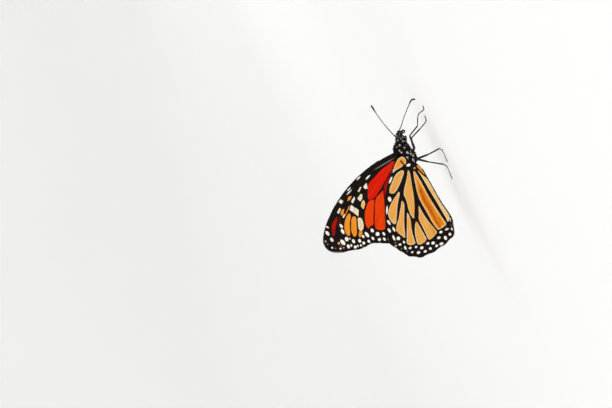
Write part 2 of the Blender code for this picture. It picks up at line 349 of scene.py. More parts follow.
def line_distance(points, line):
    """Distance from each point to the nearest place on an open line."""
    start = line[:-1]
    edge = line[1:] - start
    found = []
    for i in range(0, len(points), CHUNK):
        away = points[i : i + CHUNK, None, :] - start[None]
        share = np.clip((away * edge).sum(2) / np.maximum((edge**2).sum(1), 1e-12), 0.0, 1.0)
        found.append(np.sqrt(((away - share[..., None] * edge) ** 2).sum(2)).min(1))
    return np.concatenate(found)


def loop_distance(points, loop):
    """Distance to a closed loop, below zero inside it."""
    gap = line_distance(points, np.vstack([loop, loop[:1]]))
    inside = np.zeros(len(points), bool)
    for (ax, az), (bx, bz) in zip(loop, np.roll(loop, -1, axis=0)):
        if az != bz:
            crosses = (az > points[:, 1]) != (bz > points[:, 1])
            inside ^= crosses & (points[:, 0] < (bx - ax) * (points[:, 1] - az) / (bz - az) + ax)
    return np.where(inside, -gap, gap)


def oval_distance(points, x, z, half_long, half_wide, degrees=0.0):
    """About the distance to an oval's edge, from its place, its two half widths and its turn."""
    turn = math.radians(degrees)
    along = (points[:, 0] - x) * math.cos(turn) + (points[:, 1] - z) * math.sin(turn)
    across = (points[:, 1] - z) * math.cos(turn) - (points[:, 0] - x) * math.sin(turn)
    reach = np.hypot(along / half_long, across / half_wide)
    return (reach - 1.0) * min(half_long, half_wide)


square = np.array([(-1.0, -1.0), (1.0, -1.0), (1.0, 1.0), (-1.0, 1.0)])
print("distance to a square from its middle:", loop_distance(np.zeros((1, 2)), square)[0])

# %% [markdown]
# ## The body's form
#
# The body is a row of rounded sections from the tip of the abdomen to the face. The same table of
# sections made the solids, and here it tells three things: where the skin lies, how far the wings
# must stand out to clear the body, and which way is out for the fur.

# %% Sections from the tail to the face
BODY = np.array(
    [  # x, middle height, half height and half width
        (-26.2, -1.9, 0.35, 0.35),
        (-25.3, -1.8, 1.20, 1.10),
        (-23.0, -1.5, 1.95, 1.85),
        (-18.0, -1.0, 2.40, 2.25),
        (-12.5, -0.6, 2.40, 2.25),
        (-8.8, -0.3, 2.15, 2.05),
        (-6.8, 0.0, 2.00, 1.85),
        (-4.6, -0.35, 3.65, 2.60),
        (-1.8, 0.2, 4.15, 3.00),
        (1.2, 1.05, 4.00, 3.00),
        (3.4, 1.0, 3.50, 2.65),
        (5.2, 0.0, 2.80, 2.05),
        (6.1, -0.25, 2.40, 2.00),
        (6.8, -0.2, 2.00, 1.90),
        (7.7, -0.25, 1.55, 1.60),
        (8.3, -0.4, 1.00, 1.05),
        (8.55, -0.45, 0.35, 0.40),
    ]
)
BACK_NARROWING = 0.12  # how much narrower the back is than the belly


def body_at(x):
    """Middle height, half height and half width of the body at each x; nothing beyond its ends."""
    x = np.asarray(x, float)
    span = np.clip(np.searchsorted(BODY[:, 0], x) - 1, 0, len(BODY) - 2)
    low, high = BODY[span], BODY[span + 1]
    straight = np.clip((x - low[..., 0]) / (high[..., 0] - low[..., 0]), 0.0, 1.0)
    share = (0.5 * (straight + smoothstep(0.0, 1.0, straight)))[..., None]
    found = low[..., 1:] + (high[..., 1:] - low[..., 1:]) * share
    beyond = (x < BODY[0, 0]) | (x > BODY[-1, 0])
    return np.where(beyond[..., None], 0.0, found)


def body_side(x, z):
    """How far the body's side stands out at x and z."""
    middle, half_height, half_width = np.moveaxis(body_at(x), -1, 0)
    rise = (z - middle) / np.maximum(half_height, 1e-6)
    within = np.sqrt(np.clip(1.0 - rise**2, 0.0, 1.0))
    return np.where(np.abs(rise) < 1.0, half_width * within * (1.0 - BACK_NARROWING * rise), 0.0)


print("half width of the thorax, mm:", round(float(body_at(0.0)[2]), 2))

# %% How far the wings stand out
GAP = 0.2  # clearance between neighbouring solids
PLATE = 0.5  # thickness of the wings' solids
CREASE = 0.3  # how softly two surfaces run together


def soft_max(a, b):
    return (a + b + np.hypot(a - b, CREASE)) / 2.0


def forewing_side(x, z):
    """Distance of the forewing's middle surface from the animal's middle."""
    upright = 0.46 + 2.1 * (1.0 - smoothstep(3.0, 15.0, z))
    return soft_max(upright, body_side(x, z) + GAP + PLATE / 2)


def hindwing_side(x, z):
    """The hindwing lies outside the forewing and bows round the abdomen."""
    along = 0.15 + 0.85 * smoothstep(-41.0, -27.0, x)
    bow = 1.65 * (1.0 - smoothstep(2.0, 15.0, z)) * along
    curl = 0.75 * smoothstep(2.0, 6.0, -z) * along
    outside_forewing = (forewing_side(x, z) + PLATE + GAP) * smoothstep(1.0, 3.5, z)
    return soft_max(soft_max(1.2 + bow - curl, outside_forewing), body_side(x, z) + GAP + PLATE / 2)


print("the hindwing's middle lies out by, mm:", round(float(hindwing_side(-12.0, 5.0)), 2))

# %% [markdown]
# ## Outlines and veins
#
# A wing is known by its outline and the veins that stiffen it. Both are given here by a few places
# each, from the front of the root round to the back. The margin between two veins of the hindwing is
# slightly hollow, so its outline is pressed in there.

# %% Forewing: outline and veins
FOREWING_ROOT = (-0.3, 4.8)
FOREWING_EDGE = (
    (1.2, 3.7), (1.5, 8.0), (0.2, 16.3), (-2.4, 24.6), (-6.3, 32.6), (-11.5, 39.8), (-17.2, 45.3),
    (-21.8, 47.9), (-25.6, 47.2), (-27.9, 43.8), (-29.0, 38.8), (-30.2, 34.5), (-30.1, 29.0),
    (-31.9, 24.8), (-33.6, 20.4), (-32.6, 17.8), (-21.0, 11.9), (-10.0, 7.0), (-3.0, 4.3),
)
FOREWING_VEINS = {
    "costa": (
        (0.9, 4.6), (0.9, 8.0), (-0.4, 16.3), (-3.0, 24.4), (-6.9, 32.3), (-12.1, 39.4), (-17.6, 44.7),
    ),
    "subcosta": ((0.2, 5.0), (-0.6, 11.0), (-2.0, 17.0), (-4.6, 24.2), (-8.3, 31.2)),
    "radius": (
        (-0.9, 5.6), (-1.6, 9.0), (-2.5, 12.6), (-4.1, 16.5), (-5.9, 20.3), (-8.2, 25.6), (-10.5, 30.2),
        (-12.2, 35.5), (-15.5, 38.2), (-18.9, 40.2), (-21.4, 41.9), (-25.4, 44.4),
    ),
    "radial_fork": (
        (-10.9, 31.0), (-13.4, 33.6), (-15.6, 36.2), (-19.0, 37.6), (-23.0, 39.0), (-28.4, 40.6),
    ),
    "median_1": (
        (-8.9, 23.6), (-11.4, 26.9), (-12.7, 28.3), (-14.6, 30.3), (-16.3, 32.4), (-20.2, 34.3),
        (-24.0, 36.0), (-29.0, 38.3),
    ),
    "median_2": (
        (-12.6, 23.8), (-14.4, 25.1), (-16.2, 26.7), (-17.6, 28.4), (-18.1, 30.2), (-20.6, 31.15),
        (-23.6, 32.1), (-25.9, 33.6), (-29.9, 35.0),
    ),
    "median_3": (
        (-12.9, 22.9), (-15.9, 25.7), (-18.4, 27.5), (-22.6, 28.8), (-26.0, 30.2), (-30.0, 31.0),
    ),
    "cell_end": ((-6.4, 21.0), (-9.2, 22.6), (-12.6, 23.4), (-13.1, 20.2)),
    "cubitus": (
        (-1.2, 5.0), (-4.4, 8.0), (-6.5, 10.8), (-8.9, 13.9), (-10.5, 15.6), (-11.5, 17.4),
        (-13.1, 20.0),
    ),
    "cubitus_1": ((-13.1, 20.0), (-18.6, 22.7), (-24.2, 25.2), (-30.4, 27.6)),
    "cubitus_2": ((-10.6, 14.9), (-19.5, 17.8), (-27.4, 21.1), (-32.4, 23.6)),
    "anal": ((-1.6, 4.9), (-10.5, 8.6), (-21.2, 13.5), (-32.6, 19.0)),
}
print("veins of a forewing:", ", ".join(FOREWING_VEINS))

# %% Hindwing: outline and veins
HINDWING_ROOT = (-4.4, 1.0)
HINDWING_EDGE = (
    (-0.9, 2.0), (-1.5, 4.6), (-5.4, 8.6), (-11.5, 13.7), (-20.0, 18.1), (-28.5, 21.0), (-33.8, 21.8),
    (-38.0, 19.3), (-41.7, 16.5), (-44.3, 12.0), (-44.3, 6.1), (-43.3, 0.3), (-41.2, -4.6),
    (-35.2, -6.7), (-26.0, -5.5), (-15.0, -4.35), (-9.0, -3.6), (-6.4, -2.5), (-4.2, -0.2),
)
HOLLOWED = range(6, 13)  # the spans of the hindwing's margin that lie between two veins
HOLLOW = 0.35  # how deep the margin is pressed in there
HINDWING_VEINS = {
    "humeral": (
        (-5.5, 1.5), (-6.2, 3.5), (-6.4, 6.5), (-8.0, 9.8), (-10.8, 12.6), (-14.0, 14.6), (-18.0, 16.9),
        (-24.0, 19.4),
    ),
    "radius": (
        (-13.8, 8.8), (-15.0, 11.3), (-17.0, 13.8), (-20.0, 16.8), (-22.5, 18.6), (-26.0, 20.3),
        (-29.5, 21.2),
    ),
    "cell_top": (
        (-6.5, 2.5), (-10.0, 4.6), (-14.0, 8.2), (-18.3, 8.6), (-23.0, 9.1), (-26.0, 9.1), (-28.3, 8.5),
    ),
    "median_1": (
        (-14.3, 8.6), (-18.5, 10.7), (-23.0, 13.5), (-27.2, 16.0), (-31.0, 19.0), (-34.0, 21.6),
    ),
    "median_2": (
        (-18.5, 8.7), (-20.0, 9.1), (-24.5, 10.8), (-27.5, 12.1), (-31.0, 13.5), (-34.5, 14.8),
        (-41.5, 16.4),
    ),
    "median_3": ((-28.3, 8.4), (-30.0, 9.7), (-33.0, 10.6), (-36.0, 11.2), (-44.1, 11.8)),
    "cubitus": (
        (-6.2, 1.4), (-9.0, 1.3), (-13.0, 2.1), (-17.0, 3.2), (-21.0, 4.3), (-25.0, 5.7), (-27.3, 7.2),
        (-28.4, 8.0),
    ),
    "cubitus_1": ((-28.4, 7.9), (-29.5, 7.0), (-33.0, 6.7), (-38.5, 6.2), (-44.1, 6.1)),
    "cubitus_2": ((-17.0, 3.1), (-23.0, 3.3), (-29.0, 2.5), (-34.0, 1.6), (-38.0, 0.9), (-43.1, 0.3)),
    "anal_1": (
        (-6.4, -0.4), (-8.8, -0.9), (-12.0, -1.5), (-17.0, -1.8), (-22.0, -2.2), (-27.0, -2.8),
        (-31.0, -3.3), (-35.0, -4.1), (-41.0, -4.6),
    ),
    "anal_2": ((-7.0, -1.3), (-11.0, -2.4), (-13.5, -3.6), (-15.0, -4.4)),
}
print("veins of a hindwing:", ", ".join(HINDWING_VEINS))

# %% [markdown]
# ## Markings
#
# Under its wings a monarch is black, with orange cells between the veins and rows of white spots in
# the border. Each cell is a smooth loop with a colour at its edge and one in its middle; each spot is
# an oval: its place, its two half widths and, where it is tilted, its turn in degrees. They are plain
# data, so that a reader can move one and see what happens.

# %% Colours of the cells and spots
TONES = {
    "snow": paint(246, 243, 236),
    "cream": paint(246, 228, 196),
    "sand": paint(250, 200, 118),
    "pale": paint(240, 174, 92),
    "amber": paint(250, 153, 48),
    "deep": paint(222, 128, 28),
    "burnt": paint(196, 92, 2),
    "scarlet": paint(246, 64, 0),
    "red": paint(232, 26, 4),
    "wine": paint(150, 18, 8),
    "umber": paint(84, 26, 18),
}
TINTS = {
    "white": paint(252, 247, 236),
    "peach": paint(250, 232, 208),
    "tan": paint(216, 160, 112),
    "rose": paint(196, 170, 162),
    "smoke": paint(112, 104, 100),
}


def step_of(name, table):
    return list(table).index(name) / (len(table) - 1)


print("tones:", ", ".join(TONES), "| tints:", ", ".join(TINTS))

# %% Cells of the forewing
FOREWING_CELLS = (
    ("red", "red", (
        (-12.7, 19.7), (-12.4, 22.6), (-9.6, 21.7), (-6.5, 20.0), (-4.7, 16.3), (-3.1, 12.6),
        (-2.2, 9.2), (-1.7, 6.2), (-3.2, 6.4), (-4.9, 8.6), (-6.6, 11.1), (-9.0, 14.2), (-10.3, 15.9),
        (-11.5, 17.9),
    )),
    ("scarlet", "scarlet", (
        (-13.5, 20.5), (-12.8, 22.5), (-14.6, 24.8), (-17.4, 26.5), (-21.6, 28.0), (-23.9, 27.6),
        (-23.2, 26.5), (-23.3, 25.3), (-20.1, 23.6),
    )),
    ("scarlet", "scarlet", (
        (-11.4, 15.3), (-12.1, 17.0), (-13.2, 19.4), (-18.0, 22.0), (-24.4, 24.7), (-25.5, 24.6),
        (-26.9, 21.4), (-19.8, 18.2), (-14.0, 15.9),
    )),
    ("wine", "red", (
        (-28.2, 20.3), (-28.6, 18.0), (-20.0, 13.8), (-10.0, 9.2), (-5.2, 6.9), (-5.4, 8.6),
        (-6.7, 10.6), (-9.0, 13.6), (-10.7, 14.7), (-13.2, 15.7), (-19.8, 17.7),
    )),
    ("amber", "amber", (
        (-14.6, 32.5), (-15.2, 33.9), (-16.4, 35.2), (-17.7, 36.1), (-19.3, 36.9), (-20.8, 37.3),
        (-22.2, 37.3), (-23.3, 36.9), (-23.4, 36.2), (-22.0, 35.4), (-19.3, 34.4), (-17.6, 33.5),
        (-15.8, 32.4),
    )),
    ("amber", "amber", (
        (-16.5, 31.4), (-16.9, 32.3), (-18.0, 33.1), (-19.5, 33.9), (-21.0, 34.5), (-22.4, 34.8),
        (-23.7, 34.9), (-24.8, 34.5), (-24.5, 33.7), (-23.5, 32.9), (-21.9, 32.2), (-20.4, 31.7),
        (-18.6, 31.0), (-17.3, 30.7),
    )),
    ("cream", "sand", (
        (-18.0, 30.0), (-18.3, 28.9), (-20.0, 28.6), (-22.0, 29.1), (-23.4, 30.2), (-23.2, 31.3),
        (-21.9, 31.5), (-19.6, 30.7),
    )),
    ("amber", "amber", (
        (-23.2, 31.9), (-23.7, 30.5), (-24.6, 30.7), (-25.9, 32.0), (-25.9, 32.7), (-24.2, 32.7),
    )),
    ("snow", "cream", ((-13.2, 31.9), (-11.6, 30.4), (-13.1, 29.5), (-15.0, 30.9))),
    ("cream", "cream", ((-15.15, 30.8), (-13.25, 29.35), (-14.9, 28.3), (-17.4, 29.5))),
    ("sand", "amber", ((-11.8, 24.5), (-13.9, 24.7), (-15.5, 26.4), (-13.8, 26.8), (-12.2, 25.6))),
    ("cream", "cream", ((-10.2, 26.9), (-8.9, 24.8), (-9.5, 24.2), (-11.1, 25.0), (-11.9, 26.2))),
    ("cream", "cream", ((-7.3, 25.5), (-5.9, 23.4), (-6.6, 23.5), (-8.0, 25.1))),
    ("snow", "snow", ((-6.5, 22.5), (-5.5, 20.5), (-8.0, 21.1), (-7.7, 22.3))),
    ("amber", "amber", ((-9.6, 31.4), (-8.0, 30.1), (-8.1, 28.5), (-9.3, 29.7))),
    ("snow", "cream", ((-10.3, 29.9), (-8.7, 27.6), (-10.0, 27.9), (-11.4, 29.5))),
    ("snow", "snow", ((-8.2, 34.8), (-7.6, 33.5), (-8.9, 32.8), (-9.6, 34.2))),
    ("cream", "cream", ((-12.2, 37.3), (-10.7, 35.4), (-11.5, 35.1), (-13.1, 36.8))),
    ("amber", "amber", ((-13.2, 36.1), (-11.8, 34.9), (-12.0, 33.8), (-13.5, 34.7), (-14.5, 35.9))),
    ("snow", "snow", ((-15.6, 35.6), (-14.4, 34.6), (-13.9, 34.7), (-15.0, 35.9))),
    ("amber", "amber", ((-11.9, 31.1), (-15.2, 34.9), (-14.9, 35.1), (-11.5, 31.6))),
    ("wine", "red", (
        (-13.9, 37.9), (-14.3, 39.2), (-15.6, 40.8), (-16.9, 41.8), (-18.6, 42.5), (-20.6, 42.9),
        (-20.8, 42.3), (-18.9, 40.9), (-17.1, 39.8), (-15.5, 38.6),
    )),
    ("umber", "wine", (
        (-18.4, 39.2), (-16.4, 38.4), (-14.6, 37.2), (-14.7, 36.8), (-16.6, 37.5), (-18.5, 38.6),
    )),
)
print("cells in a forewing:", len(FOREWING_CELLS))

# %% Spots of the forewing
FOREWING_SPOTS = {
    "white": (
        (-24.3, 38.0, 0.95, 0.75), (-20.6, 38.3, 1.2, 0.6, 5), (-18.2, 37.9, 1.0, 0.5, 10),
        (-18.7, 44.6, 1.15, 0.62, 15), (-24.9, 40.1, 1.4, 0.75, 15), (-25.2, 45.2, 0.42, 0.38),
        (-27.5, 38.6, 0.9, 0.6), (-28.9, 36.0, 0.65, 0.65), (-29.2, 33.5, 0.45, 0.4),
        (-28.8, 32.0, 0.65, 0.6), (-29.0, 29.7, 0.75, 0.55, 10), (-28.5, 27.6, 0.8, 0.5, 15),
        (-30.1, 25.2, 0.6, 0.7), (-30.8, 23.2, 0.8, 0.5, 15), (-31.9, 21.2, 0.6, 0.65),
        (-32.3, 19.4, 0.55, 0.5), (-26.3, 35.7, 0.9, 0.6), (-27.2, 33.2, 0.8, 0.6),
        (-26.1, 31.1, 0.75, 0.45, 10), (-26.0, 29.3, 1.35, 0.65, 15), (-25.3, 26.5, 0.9, 0.65, 10),
        # the four thin ovals turned 112 to 115 degrees, from (-3.6, 19.0) on, are a painted highlight
        # along the raised costa, not white scales
        (-27.6, 25.0, 0.85, 0.85), (-28.6, 22.5, 0.85, 0.5, 12), (-3.6, 19.0, 1.35, 0.33, 113),
        (-2.4, 22.9, 1.15, 0.28, 115), (-5.1, 28.6, 1.05, 0.24, 113), (-6.3, 29.0, 1.5, 0.24, 112),
    ),
    "rose": ((-24.7, 36.7, 0.5, 0.4), (-21.6, 46.7, 0.42, 0.38),),
    "peach": (
        (-16.1, 43.7, 1.0, 0.35, 35), (-22.0, 44.0, 1.0, 0.6, 10), (-27.0, 42.1, 0.45, 0.4),
        (-27.6, 37.3, 0.6, 0.4), (-28.9, 34.8, 0.5, 0.35), (-30.0, 20.7, 0.7, 0.5),
    ),
    "tan": ((-24.6, 41.8, 0.6, 0.55), (-27.2, 40.7, 0.35, 0.3),),
    "smoke": (
        (-26.1, 41.3, 0.4, 0.3), (-26.1, 44.0, 0.36, 0.3), (-23.1, 46.4, 0.45, 0.36),
        # this long thin grey oval along the costa's base is painted sheen of the raised veins there, not
        # a grey marking
        (-1.2, 10.5, 5.0, 0.32, 97),
    ),
}
print("spots in a forewing:", sum(map(len, FOREWING_SPOTS.values())))

# %% Cells of the hindwing
HINDWING_CELLS = (
    ("pale", "amber", (
        (-1.4, 2.2), (-1.4, 3.6), (-2.2, 5.3), (-3.6, 6.9), (-5.3, 8.2), (-6.2, 8.5), (-5.8, 7.4),
        (-5.5, 5.9), (-5.4, 4.3), (-5.0, 3.3), (-5.0, 2.4), (-4.3, 1.5), (-3.0, 1.35), (-1.9, 1.7),
    )),
    ("pale", "pale", (
        (-13.5, 13.2), (-14.4, 11.8), (-13.8, 10.3), (-12.0, 8.0), (-9.5, 5.5), (-7.5, 4.0),
        (-6.8, 4.2), (-6.9, 6.5), (-7.8, 8.3), (-9.8, 10.5), (-12.0, 12.6),
    )),
    ("pale", "pale", (
        (-26.7, 16.5), (-25.8, 17.2), (-23.0, 17.7), (-20.5, 16.8), (-18.0, 14.5), (-16.2, 12.0),
        (-14.7, 9.3), (-15.6, 9.5), (-19.0, 11.8), (-23.0, 14.0), (-26.5, 16.0),
    )),
    ("pale", "pale", (
        (-33.8, 15.0), (-32.0, 16.0), (-30.5, 16.8), (-29.0, 17.0), (-25.0, 14.0), (-21.0, 11.3),
        (-18.7, 9.7), (-20.0, 9.4), (-24.5, 11.2), (-29.5, 13.3), (-33.5, 14.6),
    )),
    ("pale", "pale", (
        (-37.7, 11.8), (-37.6, 14.0), (-36.2, 15.1), (-34.5, 14.3), (-31.0, 12.8), (-27.0, 11.0),
        (-24.3, 9.7), (-25.3, 9.5), (-28.5, 9.8), (-31.0, 10.7), (-34.0, 11.3), (-37.5, 11.7),
    )),
    ("pale", "pale", (
        (-38.7, 10.8), (-36.5, 10.8), (-33.5, 10.1), (-30.8, 8.9), (-29.2, 7.7), (-29.8, 7.4),
        (-33.0, 7.1), (-36.0, 6.8), (-37.8, 6.7), (-38.8, 8.0),
    )),
    ("pale", "pale", (
        (-38.6, 5.8), (-36.0, 6.0), (-32.0, 6.2), (-28.7, 6.3), (-26.5, 5.3), (-23.4, 4.0),
        (-24.4, 3.9), (-28.5, 3.5), (-31.5, 2.8), (-34.5, 1.9), (-37.0, 1.4), (-37.9, 2.8),
    )),
    ("pale", "pale", (
        (-27.7, 8.1), (-26.0, 8.7), (-23.0, 8.6), (-20.0, 8.1), (-18.0, 7.9), (-17.0, 8.0),
        (-15.0, 7.2), (-12.5, 5.4), (-10.0, 3.6), (-7.7, 2.1), (-9.0, 1.9), (-11.0, 2.4), (-15.0, 3.4),
        (-19.5, 4.6), (-23.5, 6.0), (-26.0, 7.2),
    )),
    ("pale", "deep", (
        (-36.2, 0.5), (-35.0, 0.95), (-33.0, 1.45), (-28.0, 1.95), (-24.0, 2.4), (-21.0, 2.6),
        (-18.0, 2.4), (-15.0, 1.75), (-12.0, 1.15), (-9.5, 0.4), (-9.0, -0.1), (-10.0, -0.4),
        (-12.0, -0.65), (-15.0, -1.0), (-18.0, -1.25), (-20.0, -1.4), (-25.0, -1.95), (-29.0, -2.6),
        (-33.0, -3.3), (-35.5, -3.65), (-36.1, -2.0),
    )),
    ("sand", "sand", (
        (-34.8, -4.65), (-33.0, -4.6), (-29.7, -4.2), (-26.0, -3.75), (-23.0, -3.35), (-19.3, -2.85),
        (-15.3, -2.4), (-12.0, -2.0), (-9.6, -1.65), (-10.8, -2.4), (-13.0, -3.25), (-16.6, -4.6),
        (-26.0, -6.2), (-31.0, -6.6), (-33.4, -6.0), (-34.7, -5.2),
    )),
    ("amber", "amber", (
        (-7.4, -2.0), (-9.0, -2.3), (-11.0, -3.0), (-13.4, -4.0), (-15.2, -4.6), (-13.0, -4.6),
        (-10.0, -4.1), (-8.0, -3.4),
    )),
)
print("cells in a hindwing:", len(HINDWING_CELLS))

# %% Strokes and spots of the hindwing
HINDWING_STROKES = (  # dark strokes across a cell: places along each and its half width
    (((-5.3, 2.75), (-4.0, 3.1), (-2.9, 3.4)), 0.34),
)
HINDWING_STREAK = (  # a burnt streak along the lowest cell but two
    (-17.6, 0.5), (-20.0, 0.8), (-22.0, 0.95), (-24.5, 0.6), (-27.0, 0.3), (-30.0, 0.1), (-33.0, -0.2),
    (-35.4, -0.75),
)
HINDWING_SPOTS = {
    "white": (
        (-42.4, 1.6, 0.6, 0.9), (-40.8, -1.0, 0.9, 0.65), (-40.1, -3.4, 0.65, 0.6),
        (-42.3, 3.9, 0.55, 0.65), (-42.3, 6.8, 0.55, 0.65), (-42.6, 9.3, 0.5, 0.7),
        (-41.9, 12.1, 0.6, 0.75), (-40.7, 14.5, 0.4, 0.55), (-37.8, 16.5, 0.85, 0.45),
        (-35.6, 18.0, 0.45, 0.6), (-31.9, 19.3, 1.2, 0.45), (-28.2, 19.8, 1.05, 0.5, 10),
        (-37.7, -0.2, 0.55, 0.7), (-39.6, 1.6, 0.55, 0.8), (-40.6, 4.8, 0.65, 0.75),
        (-39.9, 6.9, 0.5, 0.7), (-40.6, 10.0, 0.6, 0.75), (-39.3, 12.1, 0.45, 0.55),
        (-38.7, 14.6, 0.45, 0.6), (-35.3, 16.0, 0.6, 0.4), (-32.9, 17.6, 0.75, 0.75),
        (-28.5, 17.8, 1.1, 0.42, 5), (-25.0, 18.6, 1.2, 0.5, 10), (-19.8, 17.2, 1.9, 0.36, -25),
        (-16.0, 14.3, 1.1, 0.7, -10), (-8.6, 10.6, 1.6, 0.4, -46), (-5.8, 1.1, 0.6, 0.9),
        (-34.3, -6.05, 1.0, 0.2, -8),
    ),
    "smoke": (
        (-39.5, 16.3, 0.4, 0.4), (-37.5, 18.1, 0.4, 0.3), (-34.1, 19.5, 0.45, 0.4),
        (-36.9, -5.35, 0.8, 0.15, -8),
    ),
    "tan": ((-35.4, 19.9, 0.4, 0.6), (-8.0, -0.75, 0.4, 0.45),),
    "peach": ((-37.6, -3.0, 0.45, 0.85), (-38.4, -5.0, 0.6, 0.35),),
}
print("spots in a hindwing:", sum(map(len, HINDWING_SPOTS.values())))

# %% [markdown]
# ## A wing's sheet
#
# A wing is a membrane a tenth of a millimetre thick, stretched between veins and covered with
# scales. A subdivided grid would waste its faces outside the outline, so the sheet is a Delaunay
# triangulation: points a quarter of a millimetre apart inside the smooth outline. Each of them then
# carries its distance to the nearest cell, spot and vein.

# %% Triangles between an outline and a fine grid
GRAIN = 0.27  # spacing of a sheet's points
FRINGE = 0.15  # how far the margin lies inside the outline, which the fringe reaches


def margin(anchors, hollowed=()):
    """A wing's closed edge, pressed in between the veins where it is hollowed."""
    edge = []
    middle = np.mean(anchors, axis=0)
    count = len(anchors)
    line = smooth_line(anchors, GRAIN, closed=True)
    place = 0
    for i in range(count):
        span = np.subtract(anchors[(i + 1) % count], anchors[i])
        pieces = max(1, round(np.linalg.norm(span) / GRAIN))
        for k in range(pieces):
            depth = HOLLOW * math.sin(math.pi * k / pieces) if i in hollowed else 0.0
            inward = (middle - line[place]) / np.linalg.norm(middle - line[place])
            edge.append(line[place] + inward * (depth + FRINGE))
            place += 1
    return np.array(edge)


def triangulated(edge):
    """Points and triangles that fill an edge, and the edge's own points in order."""
    low = edge.min(0)
    high = edge.max(0)
    rows = np.arange(low[1], high[1], GRAIN * math.sqrt(0.75))
    grid = np.array([
        (x, z)
        for i, z in enumerate(rows)
        for x in np.arange(low[0] + (i % 2) * GRAIN / 2, high[0], GRAIN)
    ])
    grid = grid[loop_distance(grid, edge) < -0.5 * GRAIN]
    points = np.vstack([edge, grid])
    order = list(range(len(edge)))
    made, _, faces, sources, _, _ = delaunay_2d_cdt([Vector(p) for p in points], [], [order], 1, 1e-6)
    new_place = {source: i for i, found in enumerate(sources) for source in found}
    return np.array([tuple(v) for v in made]), np.array(faces), [new_place[i] for i in order]


print("points on a forewing's margin:", len(margin(FOREWING_EDGE)))

# %% Distances to every marking
STRAIGHT_SIDED = 6  # a cell with no more corners than this keeps them
RIM = 0.22  # width of the dark line along the very edge of a wing
FAR = 99.0  # farther than any marking lies


def markings(points, cells, spots, veins, strokes=(), streak=None):
    """What each point of a sheet knows about the markings near it."""
    cell = np.full(len(points), FAR)
    tone = np.zeros(len(points))
    for edge_tone, middle_tone, anchors in cells:
        loop = np.array(anchors)
        if len(anchors) > STRAIGHT_SIDED:
            loop = smooth_line(anchors, 0.4, closed=True)
        gap = loop_distance(points, loop)
        start, stop = step_of(edge_tone, TONES), step_of(middle_tone, TONES)
        here = start + (stop - start) * smoothstep(0.3, 1.4, -gap)  # the middle is this far inside
        tone = np.where(gap < cell, here, tone)
        cell = np.minimum(cell, gap)
    if streak:
        burnt = 1.0 - smoothstep(0.25, 0.85, line_distance(points, smooth_line(streak, 0.4)))
        tone = np.where(tone > 0.0, tone + (step_of("burnt", TONES) - tone) * burnt, tone)
    for anchors, half_width in strokes:
        cell = np.maximum(cell, half_width - line_distance(points, np.array(anchors)))
    spot = np.full(len(points), FAR)
    tint = np.zeros(len(points))
    for name, ovals in spots.items():
        for oval in ovals:
            gap = oval_distance(points, *oval)
            tint = np.where(gap < spot, step_of(name, TINTS), tint)
            spot = np.minimum(spot, gap)
    vein = np.min([line_distance(points, smooth_line(v, 0.5)) for v in veins.values()], axis=0)
    return {"cell": cell, "tone": tone, "spot": spot, "tint": tint, "vein": vein}


print("dark rim of a wing, mm:", RIM)


# %% The two sheets
def new_sheet(anchors, hollowed, root, side_of, marks):
    """A wing's flat points and triangles, with the markings and a dark line along the margin."""
    edge = margin(anchors, hollowed)
    points, faces, rim = triangulated(edge)
    sheet = {"points": points, "faces": faces, "rim": rim, "root": root, "side_of": side_of}
    sheet["marks"] = markings(points, **marks)
    sheet["from_edge"] = line_distance(points, np.vstack([edge, edge[:1]]))
    sheet["marks"]["cell"] = np.maximum(sheet["marks"]["cell"], RIM - sheet["from_edge"])
    return sheet


forewing_marks = {"cells": FOREWING_CELLS, "spots": FOREWING_SPOTS, "veins": FOREWING_VEINS}
hindwing_marks = {"cells": HINDWING_CELLS, "spots": HINDWING_SPOTS, "veins": HINDWING_VEINS}
hindwing_marks |= {"strokes": HINDWING_STROKES, "streak": HINDWING_STREAK}
FOREWING = new_sheet(FOREWING_EDGE, (), FOREWING_ROOT, forewing_side, forewing_marks)
HINDWING = new_sheet(HINDWING_EDGE, HOLLOWED, HINDWING_ROOT, hindwing_side, hindwing_marks)
for label, sheet in (("forewing", FOREWING), ("hindwing", HINDWING)):
    print(f"points in a {label}'s sheet:", len(sheet["points"]))

# %% [markdown]
# ## From sheet to wing
#
# The flat sheet is draped round the body, then given two sides. Veins stand proud of both sides and
# the membrane sinks a little between them, which catches the light in soft pleats. Near the root the
# inner side swells until it meets the thorax. Outer and inner sides carry the same marks and a number
# that tells them apart, because a monarch is paler beneath its wings than above.

# %% A draped shell with two sides
SWEEP = math.radians(0.7)  # how much further back the left wings stand
MEMBRANE = 0.07  # half the membrane's thickness
THIN_EDGE = 0.03  # and half its thickness at the margin
THIN_BAND = 0.7  # how far in from the margin it is thinned
VEIN_HEIGHT = 0.09  # how far a vein stands out from either side
VEIN_WIDTH = 0.27
PLEAT = 0.10  # how far the membrane sinks between veins
ROOT_SWELL = 3.6  # how far from the root the wing's base thickens
MOST_SWELL = 1.3  # and how much at the most
SLOPE_REACH = 0.05  # half the distance over which a slope is measured


def unit(ways):
    """The same directions with a length of one."""
    return ways / np.linalg.norm(ways, axis=-1, keepdims=True)


def draped(sheet, left):
    """Places on a wing's middle surface and the way out from the body there, in millimetres."""
    x, z = sheet["points"].T
    root_x, root_z = sheet["root"]
    turn = SWEEP if left else 0.0
    x, z = (
        root_x + (x - root_x) * math.cos(turn) - (z - root_z) * math.sin(turn),
        root_z + (x - root_x) * math.sin(turn) + (z - root_z) * math.cos(turn),
    )
    sign = 1.0 if left else -1.0
    side = sheet["side_of"]
    slope_x = (side(x + SLOPE_REACH, z) - side(x - SLOPE_REACH, z)) / (2 * SLOPE_REACH)
    slope_z = (side(x, z + SLOPE_REACH) - side(x, z - SLOPE_REACH)) / (2 * SLOPE_REACH)
    place = np.column_stack([x, sign * side(x, z), z])
    return place, unit(np.column_stack([-slope_x, np.full(len(x), sign), -slope_z]))


